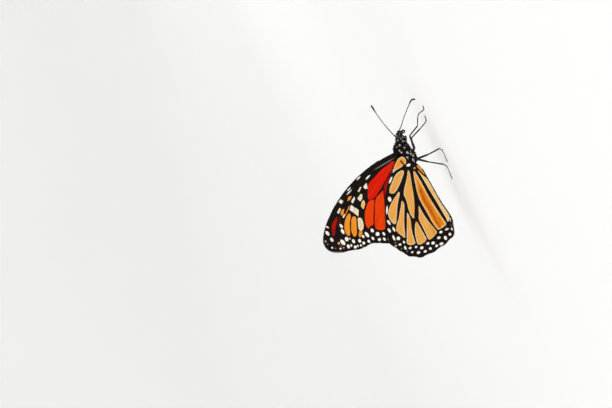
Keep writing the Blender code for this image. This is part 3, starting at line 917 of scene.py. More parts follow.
def wing_shell(sheet, left):
    """The places of a wing's outer and inner side."""
    place, out = draped(sheet, left)
    vein = sheet["marks"]["vein"]
    thin = smoothstep(0.0, THIN_BAND, sheet["from_edge"])
    ridge = VEIN_HEIGHT * np.exp(-((vein / VEIN_WIDTH) ** 2)) * thin
    sink = PLEAT * smoothstep(0.1, 1.5, vein) * thin
    half = THIN_EDGE + (MEMBRANE - THIN_EDGE) * thin + ridge
    from_root = np.hypot(*(sheet["points"] - sheet["root"]).T)
    swell = 1.0 - smoothstep(0.3 * ROOT_SWELL, ROOT_SWELL, from_root)
    to_skin = np.abs(place[:, 1]) - 0.8 * body_side(place[:, 0], place[:, 2])
    inner_half = half + np.clip(to_skin, 0.0, MOST_SWELL) * swell
    return place + out * (half - sink)[:, None], place - out * (inner_half + sink)[:, None]


print("thickness at a vein, mm:", round(2.0 * (MEMBRANE + VEIN_HEIGHT), 2))


# %% Meshes and what they carry
def new_mesh(name, points, faces=()):
    """A mesh from places in the body's millimetres."""
    mesh = bpy.data.meshes.new(name)
    mesh.from_pydata(metres(points).tolist(), [], faces)
    return mesh


def point_outwards(mesh):
    """Turns a closed mesh's faces outwards."""
    shape = bmesh.new()
    shape.from_mesh(mesh)
    bmesh.ops.recalc_face_normals(shape, faces=shape.faces)
    if shape.calc_volume(signed=True) < 0.0:
        bmesh.ops.reverse_faces(shape, faces=shape.faces)
    shape.to_mesh(mesh)
    shape.free()


def add_values(mesh, name, values, kind="FLOAT"):
    """Named values on a mesh's points, which a finish or a tree can read."""
    field = "vector" if kind == "FLOAT_VECTOR" else "value"
    made = mesh.attributes.new(name, kind, "POINT")
    made.data.foreach_set(field, np.asarray(values, np.float32).ravel())


def whole_numbers(items, field):
    """One whole number of each corner or face."""
    found = np.zeros(len(items), int)
    items.foreach_get(field, found)
    return found


def lay_map(mesh, uv):
    """The flat map on which a piece's look is kept, one place for each corner."""
    mesh.uv_layers.new(name="OFBake").data.foreach_set("uv", uv.astype(np.float32).ravel())


print("the floor below the thorax, in metres:", metres((0.0, 0.0, FLOOR)).round(4))

# %% One closed mesh for each wing
SLIVER = 0.004  # width of the rim on the flat map


def wing_mesh(name, sheet, left, finish):
    """Both sides of a wing and the rim between them, with the markings on its points."""
    outer, inner = wing_shell(sheet, left)
    count = len(outer)
    faces = sheet["faces"]
    rim = np.array(sheet["rim"])
    after = np.roll(rim, -1)
    quads = np.column_stack([rim, after, after + count, rim + count])
    everything = faces.tolist() + (faces[:, ::-1] + count).tolist() + quads.tolist()
    mesh = new_mesh(name, np.vstack([outer, inner]), everything)
    point_outwards(mesh)
    for mark, values in sheet["marks"].items():
        add_values(mesh, mark, np.tile(values, 2))
    add_values(mesh, "upper", np.repeat([0.0, 1.0], count))
    mesh.materials.append(finish)
    mesh.shade_smooth()
    lay_map(mesh, wing_map(mesh, sheet["points"]))
    return mesh


def wing_map(mesh, flat):
    """The outer side on the left, the inner side on the right and the rim round each."""
    low, high = flat.min(0), flat.max(0)
    scale = 0.96 / max(2.0 * (high[0] - low[0]), high[1] - low[1])
    away = unit(flat - flat.mean(0))
    corner = whole_numbers(mesh.loops, "vertex_index")
    totals = whole_numbers(mesh.polygons, "loop_total")
    on_rim = np.repeat(totals == 4, totals)
    inner_side = corner >= len(flat)
    place = corner % len(flat)
    uv = ((flat - low) * scale + 0.01)[place]
    uv[inner_side & ~on_rim, 0] += 0.5
    uv[inner_side & on_rim] += away[place[inner_side & on_rim]] * SLIVER
    return uv


print("faces round a forewing's rim:", len(FOREWING["rim"]))

# %% [markdown]
# ## Wing scales
#
# Colour on a wing comes from tiny scales laid like roof tiles, so an edge between two colours is
# ragged at a tenth of a millimetre, and no patch is quite even. The finish turns the distances into
# masks, shakes their edges with fine noise, adds faint streaks that fan out from the root, mottles
# the deepest orange with short flecks, and lays a bump of rows of scales over it all. The inner side
# has the warmer orange of the upper wing.


# %% Streaks and colours of a wing
def fans(wire, root):
    """Two noises that fan out from a wing's root: long faint streaks and short flecks."""
    where = wire.node("ShaderNodeTexCoord", output=3)
    hinge = tuple(metres((root[0], 0.0, root[1])))
    arm = wire.node("ShaderNodeVectorMath", {"operation": "SUBTRACT"}, {0: where, 1: hinge})
    split = wire.node("ShaderNodeSeparateXYZ", {}, {0: arm})
    turn = wire.math("ARCTAN2", split.beside(2), split)
    length = wire.node("ShaderNodeVectorMath", {"operation": "LENGTH"}, {0: arm}, output=1)
    noises = []
    for across, along in ((60.0, 90.0), (75.0, 550.0)):
        fan = wire.node("ShaderNodeCombineXYZ", {}, {0: turn * across, 1: length * along})
        noises.append(wire.node("ShaderNodeTexNoise", {}, {"Vector": fan, "Scale": 1.0, "Detail": 3.0}))
    return noises


def coloured_by(wire, place, table):
    """The colour at a place along a table."""
    stops = [(step_of(name, table), colour) for name, colour in table.items()]
    return wire.node("ShaderNodeValToRGB", {"stops": stops}, {"Fac": place})


def past(tone, first, second, start=0.0, stop=1.0):
    """A mask that goes from start to stop between two of the tones."""
    return tone.fade(step_of(first, TONES), step_of(second, TONES), start, stop)


print("place of burnt orange among the tones:", step_of("burnt", TONES))

# %% Colour inside the cells
MOTTLING = 4.5 / len(TONES)  # how far the flecks reach among the tones
STREAKING = 2.0 / len(TONES)  # and the streaks


def cell_colour(wire, root, tone, upper, edge, above):
    """Streaked and mottled tones; pale towards the cells' edges beneath, warmer above."""
    streaks, flecks = fans(wire, root)
    broad = place_noise(wire, 260.0)
    fine = place_noise(wire, 9000.0, 1.0)
    orange = past(tone, "pale", "deep") * past(tone, "burnt", "scarlet", 1.0, 0.0)
    mottled = tone + (flecks - 0.5) * orange * MOTTLING
    mottled = wire.math("MINIMUM", mottled, wire.math("MAXIMUM", tone, step_of("burnt", TONES)))
    plain = coloured_by(wire, mottled + (streaks - 0.5) * STREAKING, TONES)
    deepened = {"Saturation": 1.12, "Value": 0.8, "Color": plain}
    darker = wire.node("ShaderNodeHueSaturation", {}, deepened)
    shade = streaks.fade(0.3, 0.72) * 0.34 + fine.fade(0.3, 0.7) * 0.16 + broad.fade(0.35, 0.7) * 0.12
    rich = shade.blend(plain, darker)
    warm = past(tone, "cream", "sand").blend(rich, (upper * 0.85).blend(rich, above))
    in_pale_cell = past(tone, "pale", "amber", 1.0, 0.0)
    pale_edge = edge * (1.0 - upper) * broad.fade(0.35, 0.62) * 0.8 * in_pale_cell
    return pale_edge.blend(warm, TONES["cream"]), streaks, fine


print("flecks reach over this share of the tones:", round(MOTTLING, 2))

# %% The finish of a wing
FADE = 0.05  # half the softness of an edge, in millimetres
SCALE_SIZE = 0.11  # length of a wing scale, in millimetres


def wing_finish(name, root, above):
    """Black scales, coloured cells, dark veins and light spots; `above` is the upper side's orange."""
    material, shader, wire = new_finish(name, Roughness=0.6, Specular_IOR_Level=0.07)
    ragged = (place_noise(wire, 1000.0 / (1.6 * SCALE_SIZE), 1.0) - 0.5) * 0.30
    upper = attribute(wire, "upper")
    tone = attribute(wire, "tone")
    cell = attribute(wire, "cell") + ragged
    spot = attribute(wire, "spot") + ragged + upper * 0.14
    inside, streaks, fine = cell_colour(wire, root, tone, upper, cell.fade(-0.48, -0.12), above)
    soot = fine.fade(0.35, 0.75).blend(paint(11, 8, 8), paint(33, 24, 20))
    coloured = cell.fade(-FADE, FADE, 1.0, 0.0).blend(soot, inside)
    on_vein = (attribute(wire, "vein") + ragged * 0.5).fade(0.12, 0.22, 1.0, 0.0)
    coloured = (on_vein * past(tone, "cream", "sand")).blend(coloured, soot)
    spots = coloured_by(wire, attribute(wire, "tint"), TINTS)
    feed(shader["Base Color"], spot.fade(-FADE, FADE, 1.0, 0.0).blend(coloured, spots))
    where = wire.node("ShaderNodeTexCoord", output=3)
    rows = {"Vector": where, "Scale": 1000.0 / SCALE_SIZE, "Randomness": 0.55}
    tiles = wire.node("ShaderNodeTexVoronoi", {"feature": "F1"}, rows)
    feed(shader["Normal"], bump(wire, tiles * -1.0 + streaks * 1.5, 0.45, 0.02))
    feed(shader["Roughness"], tiles.fade(0.0, 0.7, 0.5, 0.68))
    return material


forewing_finish = wing_finish("forewing_scales", FOREWING_ROOT, paint(226, 92, 16))
hindwing_finish = wing_finish("hindwing_scales", HINDWING_ROOT, paint(222, 104, 22))
print("nodes in a wing's finish:", len(forewing_finish.node_tree.nodes))


# %% Four wings
def settle(name, mesh, slot, *nodes):
    """Puts a finished mesh in the scene, on the frame, in place of its solids."""
    mesh.name = name
    piece = bpy.data.objects.new(name, mesh)
    bpy.context.scene.collection.objects.link(piece)
    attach(piece, "root")
    if nodes:
        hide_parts(*nodes)


WINGS = (
    ("forewing", FOREWING, forewing_finish, "wing_front"),
    ("hindwing", HINDWING, hindwing_finish, "wing_hind"),
)
for side, _ in SIDES:
    for kind, sheet, finish, slot in WINGS:
        wing_name = f"{kind}_{side}_scaled"
        mesh = wing_mesh(wing_name, sheet, side == "left", finish)
        settle(wing_name, mesh, slot, f"{kind}_{side}")
        print(wing_name, "faces:", len(mesh.polygons))

# %% [markdown]
# ## Growing small things
#
# Hairs, fringe scales and spines are thousands of copies of one blade, each with its own place and
# lean. Geometry Nodes are made for that: one tree plants blades on given points, another scatters
# them over a skin first. Both end by making the copies real and giving them their finish.

# %% Trees with named inputs
SOCKETS = {
    float: "NodeSocketFloat",
    int: "NodeSocketInt",
    "object": "NodeSocketObject",
    "material": "NodeSocketMaterial",
}


def new_tree(name, **inputs):
    """A Geometry Nodes tree with named inputs, and a wire for each."""
    tree = bpy.data.node_groups.new(name, "GeometryNodeTree")
    tree.interface.new_socket("Geometry", in_out="INPUT", socket_type="NodeSocketGeometry")
    for label, kind in inputs.items():
        tree.interface.new_socket(label, in_out="INPUT", socket_type=SOCKETS[kind])
    tree.interface.new_socket("Geometry", in_out="OUTPUT", socket_type="NodeSocketGeometry")
    entry = tree.nodes.new("NodeGroupInput")
    return tree, {socket.name: Wire(tree, socket) for socket in entry.outputs if socket.name}


def finish_tree(wires, copies):
    """Makes the copies real, gives them their finish and sends them out."""
    real = copies.node("GeometryNodeRealizeInstances", {}, {"Geometry": copies})
    dressed = real.node("GeometryNodeSetMaterial", {}, {"Geometry": real, "Material": wires["Finish"]})
    way_out = real.tree.nodes.new("NodeGroupOutput")
    real.tree.links.new(dressed.socket, way_out.inputs[0])


def named(wire, name, kind="FLOAT"):
    return wire.node("GeometryNodeInputNamedAttribute", {"data_type": kind}, {"Name": name})


print("kinds of input:", ", ".join(kind[10:] for kind in SOCKETS.values()))

# %% A blade on every point
SHORTEST, LONGEST = 0.72, 1.15  # a blade's length as a share of its reach


def leaning(wires, out):
    """A turn along each point's own lean, a little shaken, with the blade's flat side outwards."""
    bounds = {0: (-1.0, -1.0, -1.0), 1: (1.0, 1.0, 1.0), "Seed": wires["Seed"]}
    shake = out.node("FunctionNodeRandomValue", {"data_type": "FLOAT_VECTOR"}, bounds)
    scaled = {0: shake, "Scale": wires["Untidiness"]}
    shake = out.node("ShaderNodeVectorMath", {"operation": "SCALE"}, scaled)
    both = {0: named(out, "lean", "FLOAT_VECTOR"), 1: shake}
    lean = out.node("ShaderNodeVectorMath", {"operation": "ADD"}, both)
    upright = out.node("FunctionNodeAlignRotationToVector", {"axis": "Z"}, {"Vector": lean})
    settings = {"axis": "X", "pivot_axis": "Z"}
    return out.node("FunctionNodeAlignRotationToVector", settings, {"Rotation": upright, "Vector": out})


def plant(wires, points, out):
    """Copies of the blade on points, each along its own lean and as long as its own reach."""
    where = {"Geometry": points, "Name": "planted", "Value": points.node("GeometryNodeInputPosition")}
    settings = {"data_type": "FLOAT_VECTOR", "domain": "POINT"}
    points = points.node("GeometryNodeStoreNamedAttribute", settings, where)
    limits = {2: SHORTEST, 3: LONGEST, "Seed": wires["Seed"] + 7.0}
    size = points.node("FunctionNodeRandomValue", {"data_type": "FLOAT"}, limits, output=1)
    width = size * wires["Width"]
    length = size * named(points, "reach")
    values = {
        "Points": points,
        "Instance": points.node("GeometryNodeObjectInfo", {}, {"Object": wires["Blade"]}, output=4),
        "Rotation": leaning(wires, out),
        "Scale": points.node("ShaderNodeCombineXYZ", {}, {0: width, 1: width, 2: length}),
    }
    finish_tree(wires, points.node("GeometryNodeInstanceOnPoints", {}, values))


BLADE_INPUTS = {"Width": float, "Untidiness": float, "Seed": int, "Blade": "object", "Finish": "material"}
planting, planting_wires = new_tree("plant_blades", **BLADE_INPUTS)
cloud = planting_wires["Geometry"]
plant(planting_wires, cloud, named(cloud, "flat", "FLOAT_VECTOR"))
print("inputs of planting:", ", ".join(planting_wires))

# %% Blades scattered over a skin
scattering, scattering_wires = new_tree("scatter_tufts", Spacing=float, **BLADE_INPUTS)
ground = scattering_wires["Geometry"]
spacing = scattering_wires["Spacing"]
scattered = ground.node(
    "GeometryNodeDistributePointsOnFaces",
    {"distribute_method": "POISSON"},
    {
        "Mesh": ground,
        "Distance Min": spacing,
        "Density Max": ground.math("DIVIDE", 1.6, spacing * spacing),
        "Density Factor": named(ground, "thickness_of_coat"),
        "Seed": scattering_wires["Seed"],
    },
)
plant(scattering_wires, scattered, scattered.beside("Normal"))
print("inputs of scattering:", ", ".join(scattering_wires))


# %% Growing a tree's result into a plain mesh
def grown(name, ground, tree, **inputs):
    """The mesh that a tree makes of a ground mesh, with the modifier taken off again."""
    host = bpy.data.objects.new(name + "_ground", ground)
    bpy.context.scene.collection.objects.link(host)
    modifier = host.modifiers.new(tree.name, "NODES")
    modifier.node_group = tree
    for item in tree.interface.items_tree:
        if item.in_out == "INPUT" and item.name in inputs:
            modifier[item.identifier] = inputs[item.name]
    graph = bpy.context.evaluated_depsgraph_get()
    mesh = bpy.data.meshes.new_from_object(host.evaluated_get(graph))
    host.modifiers.remove(modifier)
    bpy.data.objects.remove(host)
    return mesh


def planted(name, places, blade, finish, width, untidiness, seed):
    """Blades on places, each a point, a lean, a flat side, a length and perhaps a paleness."""
    points, leans, flats, lengths, *pale = zip(*places)
    cloud = new_mesh(name + "_points", points)
    add_values(cloud, "lean", leans, "FLOAT_VECTOR")
    add_values(cloud, "flat", flats, "FLOAT_VECTOR")
    add_values(cloud, "reach", np.array(lengths) * MM)
    if pale:
        add_values(cloud, "pale", pale[0])
    inputs = {"Width": width * MM, "Untidiness": untidiness, "Seed": seed}
    return grown(name, cloud, planting, Blade=blade, Finish=finish, **inputs)


print("trees to grow:", planting.name, "and", scattering.name)

# %% [markdown]
# ## Blades
#
# A hair, a scale and a spine are all one tapering blade: a long thin one for fur, a short broad one
# for the fringe. Each has a few faces only, because it is repeated thousands of times, and each point
# of it knows how far along the blade it is, so that tips can be lighter than roots.


# %% One tapering blade
def strip(low, sides):
    """Faces between two closed rings of points that follow each other."""
    faces = []
    for k in range(sides):
        after = (k + 1) % sides
        faces.append((low + k, low + after, low + sides + after, low + sides + k))
    return faces


def blade(name, widths, thickness, curl, sides=3):
    """A closed blade one unit long, with a width at each step and a point at its end."""
    points = []
    steps = len(widths)
    for i, width in enumerate(widths):
        height = i / steps
        for k in range(sides):
            turn = 2.0 * math.pi * k / sides
            across = math.cos(turn) * width * thickness - curl * height**2
            points.append((across, math.sin(turn) * width, height))
    points.append((-curl, 0.0, 1.0))
    last = (steps - 1) * sides
    faces = [tuple(reversed(range(sides)))]
    for low in range(0, last, sides):
        faces += strip(low, sides)
    faces += [(last + k, last + (k + 1) % sides, len(points) - 1) for k in range(sides)]
    mesh = bpy.data.meshes.new(name)
    mesh.from_pydata(points, [], faces)
    point_outwards(mesh)
    mesh.shade_smooth()
    add_values(mesh, "along", [height for _, _, height in points])
    return bpy.data.objects.new(name, mesh)


hair_blade = blade("hair_blade", (1.0, 0.9, 0.6), thickness=0.5, curl=0.16)
scale_blade = blade("scale_blade", (0.55, 1.0, 0.95), thickness=0.2, curl=0.05, sides=4)
spine_blade = blade("spine_blade", (1.0, 0.7, 0.35), thickness=1.0, curl=0.1, sides=4)
print("faces in a hair:", len(hair_blade.data.polygons))

# %% [markdown]
# ## Skin of the body
#
# Head, thorax and abdomen are one skin, so that no seam shows, and it lies inside the solids by the
# depth of the coat. The form comes from the same sections, with what the solids leave out: the neck
# behind the head, the collar, the groove down the back, the hollows that hold the eyes, and the
# abdomen's rings, each of which overlaps the next like a telescope.

# %% The skin's form
EYE = np.array((6.75, 1.32, 0.05))  # middle of the left eye, which the right one mirrors
EYE_RADII = np.array((0.95, 0.85, 1.10))
RING_LENGTH = 2.35
RING_OVERLAP = 0.15
COAT_DEPTH = (  # x and the depth of the coat there
    (-26.2, 0.06), (-8.5, 0.12), (-6.5, 0.22), (-3.0, 0.26), (4.0, 0.26), (5.6, 0.24), (8.55, 0.2),
)
GROOVES = (  # neck, collar and waist: x, width and depth
    (5.45, 0.33, 0.42), (3.7, 0.25, 0.16), (-6.9, 0.35, 0.30),
)


def table_at(table, x):
    """Values of a table at x."""
    stops = np.array(table)
    return np.interp(x, stops[:, 0], stops[:, 1])


def skin_depth(x, angle):
    """How far the skin lies inside the solids at x and at an angle round the body."""
    depth = table_at(COAT_DEPTH, x)
    phase = np.mod((x + 7.0) / RING_LENGTH, 1.0)
    on_abdomen = 1.0 - smoothstep(-8.6, -7.4, x)
    over_next = smoothstep(0.0, 0.22, phase) * (1.0 - 0.35 * smoothstep(0.3, 1.0, phase))
    depth += on_abdomen * RING_OVERLAP * (1.0 - over_next)
    for middle, width, deep in GROOVES:
        depth += deep * np.exp(-(((x - middle) / width) ** 2))
    upwards = np.clip(np.sin(angle), 0.0, 1.0) ** 8
    on_thorax = smoothstep(-6.0, -4.0, x) * (1.0 - smoothstep(3.0, 4.5, x))
    depth += 0.22 * on_thorax * upwards * np.exp(-((np.cos(angle) / 0.12) ** 2))
    return depth


def skin_place(x, angle):
    middle, half_height, half_width = np.moveaxis(body_at(x), -1, 0)
    depth = np.minimum(skin_depth(x, angle), 0.6 * np.minimum(half_height, half_width))
    up = np.sin(angle)
    across = (half_width - depth) * np.cos(angle) * (1.0 - BACK_NARROWING * up)
    return np.stack([x, across, middle + (half_height - depth) * up], axis=-1)


def around(points):
    """The angle of each point round the body, 0 at its left side and a quarter turn at its back."""
    middle, half_height, half_width = np.moveaxis(body_at(points[:, 0]), -1, 0)
    up = (points[:, 2] - middle) / np.maximum(half_height, 0.1)
    return np.arctan2(up, points[:, 1] / np.maximum(half_width, 0.1))


def from_eye(points, sign, gap):
    """Distance from an eye's middle, which is one on a shell that clears the eye by the gap."""
    return np.linalg.norm((points - EYE * (1.0, sign, 1.0)) / (EYE_RADII + gap), axis=1)


print("depth of the skin at the thorax, mm:", round(float(skin_depth(0.0, 0.0)), 2))

# %% The skin's mesh
SKIN_STEP = 0.16
SKIN_SIDES = 84
EYE_GAP = 0.12  # room between an eye and the skin round it
EYE_HOLLOW = 0.35  # how deep the skin is pressed in behind an eye


def loft(rings, first, last):
    """Faces between closed rings of points, with a pole at each end."""
    sides = len(rings[0])
    points = np.vstack([first, *rings, last])
    pole = len(points) - 1
    end = pole - sides
    faces = [(0, 1 + (k + 1) % sides, 1 + k) for k in range(sides)]
    for low in range(1, end, sides):
        faces += strip(low, sides)
    faces += [(pole, end + k, end + (k + 1) % sides) for k in range(sides)]
    return points, faces


def press_eyes_in(points):
    """Hollows the head where the eyes sit, a little deeper than their middles."""
    for sign in (1.0, -1.0):
        reach = from_eye(points, sign, EYE_GAP)
        inside = (reach < 1.0) & (points[:, 1] * sign > 0.2)
        pressed = np.abs(points[inside, 1]) - EYE_HOLLOW * (1.0 - reach[inside] ** 4)
        points[inside, 1] = sign * pressed
    return points


skin_x = np.arange(BODY[0, 0] + 0.06, BODY[-1, 0] - 0.02, SKIN_STEP)
skin_turns = -math.pi / 2 + 2.0 * math.pi * np.arange(SKIN_SIDES) / SKIN_SIDES
skin_rings = [skin_place(np.full(SKIN_SIDES, x), skin_turns) for x in skin_x]
tail = (BODY[0, 0], 0.0, BODY[0, 1])
face = (BODY[-1, 0] - 0.25, 0.0, BODY[-1, 1])
skin_points, skin_faces = loft(skin_rings, tail, face)
skin_points = press_eyes_in(skin_points)
print("skin points:", len(skin_points))

# %% [markdown]
# ## Markings and lie of the coat
#
# A monarch's black body is dotted with white, in pairs that mirror each other. The dots are places
# on its side, and each point of the skin and each hair knows its distance to the nearest one, so skin
# and coat agree. Hair in front of a dot is cut short, or it would lie over the white.

# %% White dots
DOTS = (  # x, z and radius
    (3.77, 1.23, 0.42), (1.61, 2.3, 0.36), (0.46, 1.75, 0.36), (-0.52, -0.62, 0.46),
    (-2.65, 0.27, 0.48), (-4.4, -1.58, 0.46), (-1.63, -1.76, 0.36), (-0.73, -2.29, 0.28),
    (-2.8, -2.46, 0.4), (-2.27, -3.3, 0.28), (-5.3, -1.9, 0.34), (1.89, -0.33, 0.34),
    (2.53, -1.69, 0.38), (4.62, -1.05, 0.34), (4.3, -1.9, 0.26), (6.15, -1.5, 0.24),
    (7.6, 0.75, 0.22), (5.75, 1.25, 0.24), (5.7, -0.55, 0.2), (0.3, -2.9, 0.3), (3.6, 2.7, 0.26),
    (-9.3, -1.75, 0.2), (-11.6, -2.0, 0.2), (-13.9, -2.1, 0.2), (-16.3, -2.3, 0.2),
    (-18.6, -2.4, 0.18), (7.9, -0.75, 0.16),
)
TOP_DOTS = (  # x, y and radius on the back
    (7.35, 0.3, 0.2), (6.1, 0.45, 0.22), (4.7, 0.7, 0.22), (8.1, 0.35, 0.14),
)


def dot_places():
    """Where each dot's middle lies on the skin, on both sides, and its radius."""
    places = [(x, float(body_side(np.array(x), np.array(z))), z, size) for x, z, size in DOTS]
    for x, y, size in TOP_DOTS:
        middle, half_height, half_width = body_at(x)
        z = middle + half_height * math.sqrt(1.0 - (y / half_width) ** 2)
        places.append((x, y, float(z), size))
    found = []
    for x, y, z, size in places:
        for place in ((x, y, z), (x, -y, z)):
            nearest = np.argmin(np.linalg.norm(skin_points - place, axis=1))
            found.append((skin_points[nearest], size))
    return found


DOT_PLACES = dot_places()


def dot_distance(points):
    """Distance to the edge of the nearest white dot, below zero inside it."""
    edges = [np.linalg.norm(points - centre, axis=1) - radius for centre, radius in DOT_PLACES]
    return np.min(edges, axis=0)


print("white dots:", len(DOT_PLACES))

# %% How the hair lies and how long it is
LENGTHS = (  # x and the length of the hair there
    (-26.0, 0.3), (-9.0, 0.34), (-7.0, 0.75), (-5.0, 1.0), (0.0, 1.05), (4.5, 0.95), (5.6, 0.8),
    (7.0, 0.5), (7.8, 0.55), (8.5, 0.8),
)
LIFTS = (  # x and how much the hair stands up there
    (-26.0, 0.14), (-9.0, 0.16), (-6.5, 0.36), (4.5, 0.42), (6.0, 0.6), (8.5, 0.75),
)
DOT_LENGTH = 0.32  # and inside a dot


def lie_of_coat(points, normals):
    """Which way the hair points: back over the thorax and abdomen, forward over the face."""
    forward = smoothstep(6.4, 7.6, points[:, 0])
    lie = np.column_stack([2.0 * forward - 1.0, 0.15 * np.sign(points[:, 1]), -0.25 + 0.5 * forward])
    lie -= normals * (lie * normals).sum(1)[:, None]
    lie /= np.maximum(np.linalg.norm(lie, axis=1), 1e-6)[:, None]
    return lie


def hair_reach(points, lie):
    """Length of the hair in millimetres, shorter where it would lie over a dot or an eye."""
    reach = table_at(LENGTHS, points[:, 0])
    for share in (0.35, 0.6, 0.85, 1.1):
        ahead = points + lie * (share * reach)[:, None]
        covers = (dot_distance(ahead) < -0.04) & (dot_distance(points) > 0.0)
        reach = np.where(covers, np.minimum(reach, 0.75 * share * reach), reach)
    reach = np.where(dot_distance(points) < 0.02, DOT_LENGTH, reach)
    for sign in (1.0, -1.0):
        reach *= smoothstep(0.95, 1.25, from_eye(points + lie * 0.3, sign, 0.1))
    return reach


def coat_thickness(points):
    """How densely the hair grows: none in the eyes' hollows."""
    thick = np.ones(len(points))
    for sign in (1.0, -1.0):
        thick *= smoothstep(0.95, 1.1, from_eye(points, sign, EYE_GAP))
    return thick


print("hair on the thorax, mm:", round(float(table_at(LENGTHS, 0.0)), 2))

# %% Skin with what it knows about its coat
skin_mesh = new_mesh("body_skin", skin_points, skin_faces)
point_outwards(skin_mesh)
skin_mesh.shade_smooth()
skin_normals = np.array([v.normal for v in skin_mesh.vertices])
skin_lie = lie_of_coat(skin_points, skin_normals)
skin_lift = table_at(LIFTS, skin_points[:, 0])[:, None]
skin_reach = hair_reach(skin_points, skin_lie)
add_values(skin_mesh, "dot", dot_distance(skin_points))
add_values(skin_mesh, "lean", skin_lie + skin_normals * skin_lift, "FLOAT_VECTOR")
add_values(skin_mesh, "reach", skin_reach * MM)
add_values(skin_mesh, "thickness_of_coat", coat_thickness(skin_points) * (skin_reach > 0.08))
print("longest hair in mm:", round(float(skin_reach.max()), 2))


# %% A map of the skin, unrolled
def unrolled(points):
    """A place on the skin's flat map: its turn round the body and its way along it."""
    turn = np.mod(around(points) + math.pi / 2, 2.0 * math.pi) / (2.0 * math.pi)
    along = (points[:, 0] - BODY[0, 0]) / (BODY[-1, 0] - BODY[0, 0])
    return np.column_stack([0.01 + 0.98 * turn, 0.01 + 0.98 * along])


def map_skin(mesh, points):
    """Unrolls the skin; faces that cross the seam keep to its far side."""
    uv = unrolled(points)[whole_numbers(mesh.loops, "vertex_index")]
    starts = whole_numbers(mesh.polygons, "loop_start")
    totals = whole_numbers(mesh.polygons, "loop_total")
    width = np.maximum.reduceat(uv[:, 0], starts) - np.minimum.reduceat(uv[:, 0], starts)
    crosses = np.repeat(width > 0.5, totals)
    uv[crosses & (uv[:, 0] < 0.5), 0] = 0.99
    lay_map(mesh, uv)


map_skin(skin_mesh, skin_points)
print("corners on the skin's map:", len(skin_mesh.loops))

# %% [markdown]
# ## Skin and hair finishes
#
# Under its hair the skin is black chitin, dull on the thorax and faintly scaled on the abdomen. The
# hairs are soot black with browner tips, and a hair rooted in a dot is white from root to tip.

# %% Finishes of skin and hair
CHALK = paint(244, 240, 230)
SKIN_CELL = 0.14  # size of the skin's grain, in millimetres
skin_finish, skin_sockets, skin_wire = new_finish("black_chitin", Roughness=0.5, Specular_IOR_Level=0.2)
skin_grain = place_noise(skin_wire, 5200.0)
skin_dot = attribute(skin_wire, "dot") + (skin_grain - 0.5) * 0.16
skin_soot = skin_grain.fade(0.3, 0.75).blend(paint(10, 8, 8), paint(34, 26, 22))
feed(skin_sockets["Base Color"], skin_dot.fade(-0.04, 0.04, 1.0, 0.0).blend(skin_soot, CHALK))
skin_where = {"Vector": skin_wire.node("ShaderNodeTexCoord", output=3), "Scale": 1000.0 / SKIN_CELL}
skin_cells = skin_wire.node("ShaderNodeTexVoronoi", {"feature": "F1"}, skin_where)
feed(skin_sockets["Normal"], bump(skin_wire, skin_cells * -1.0 + skin_grain, 0.5, 0.03))
feed(skin_sockets["Roughness"], skin_cells.fade(0.0, 0.8, 0.4, 0.62))
skin_mesh.materials.append(skin_finish)

hair_finish, hair_sockets, hair_wire = new_finish("body_hair", Roughness=0.55, Specular_IOR_Level=0.15)
hair_along = attribute(hair_wire, "along")
hair_grain = place_noise(hair_wire, 1800.0)
hair_soot = (hair_along * 0.55 + hair_grain * 0.35).blend(paint(10, 8, 8), paint(52, 40, 34))
hair_chalk = (hair_along * 0.5 + hair_grain * 0.4).blend(paint(226, 219, 206), paint(252, 250, 244))
hair_dot = attribute(hair_wire, "dot")
feed(hair_sockets["Base Color"], hair_dot.fade(-0.01, 0.01, 1.0, 0.0).blend(hair_soot, hair_chalk))
feed(hair_sockets["Roughness"], hair_along.fade(0.0, 1.0, 0.62, 0.48))

settle("body_skin", skin_mesh, "body", "head", "thorax", "abdomen")
print("skin faces:", len(skin_mesh.polygons))

# %% [markdown]
# ## The coat
#
# The hair is thickest on the head, long on the thorax and no more than flat scales on the abdomen,
# so the coat is three pieces with their own spacing, and a fourth of close white scales that fills
# the dots of head and thorax evenly. Each hair is real mesh. Its colour is read at its root, and its
# patch of the map lies at that root's place on the unrolled skin.

# %% Hair on head, thorax and abdomen
COATS = (  # name, from x, to x, spacing, width, untidiness, seed, and whether only in the dots
    ("coat_thorax", -7.6, 5.2, 0.125, 0.032, 0.24, 11, False),
    ("coat_head", 5.2, 8.6, 0.09, 0.024, 0.22, 12, False),
    ("coat_abdomen", -26.3, -7.6, 0.20, 0.060, 0.10, 13, False),
    ("coat_dots", -7.6, 8.6, 0.07, 0.055, 0.14, 14, True),
)
PATCH = 0.003  # width of a hair's patch on the map


def read_values(mesh, name, width=1):
    """Named values on a mesh's points; a width of three reads vectors."""
    found = np.zeros(len(mesh.vertices) * width, np.float32)
    mesh.attributes[name].data.foreach_get("vector" if width == 3 else "value", found)
    return found.reshape(-1, 3) if width == 3 else found


def coat_piece(name, from_x, to_x, spacing, width, untidiness, seed, only_dots):
    """The hair on one stretch of the skin, each with its distance to a dot and its map."""
    ground = skin_mesh.copy()
    inside = (skin_points[:, 0] >= from_x) & (skin_points[:, 0] < to_x)
    if only_dots:
        inside &= dot_distance(skin_points) < -0.02
    thick = read_values(ground, "thickness_of_coat") * inside
    ground.attributes["thickness_of_coat"].data.foreach_set("value", thick)
    inputs = {"Spacing": spacing * MM, "Width": width * MM, "Untidiness": untidiness, "Seed": seed}
    mesh = grown(name, ground, scattering, Blade=hair_blade, Finish=hair_finish, **inputs)
    roots = (read_values(mesh, "planted", 3).astype(float) - MIDDLE) / MM
    mesh.attributes.remove(mesh.attributes["dot"])
    add_values(mesh, "dot", dot_distance(roots))
    map_coat(mesh, roots)
    return mesh


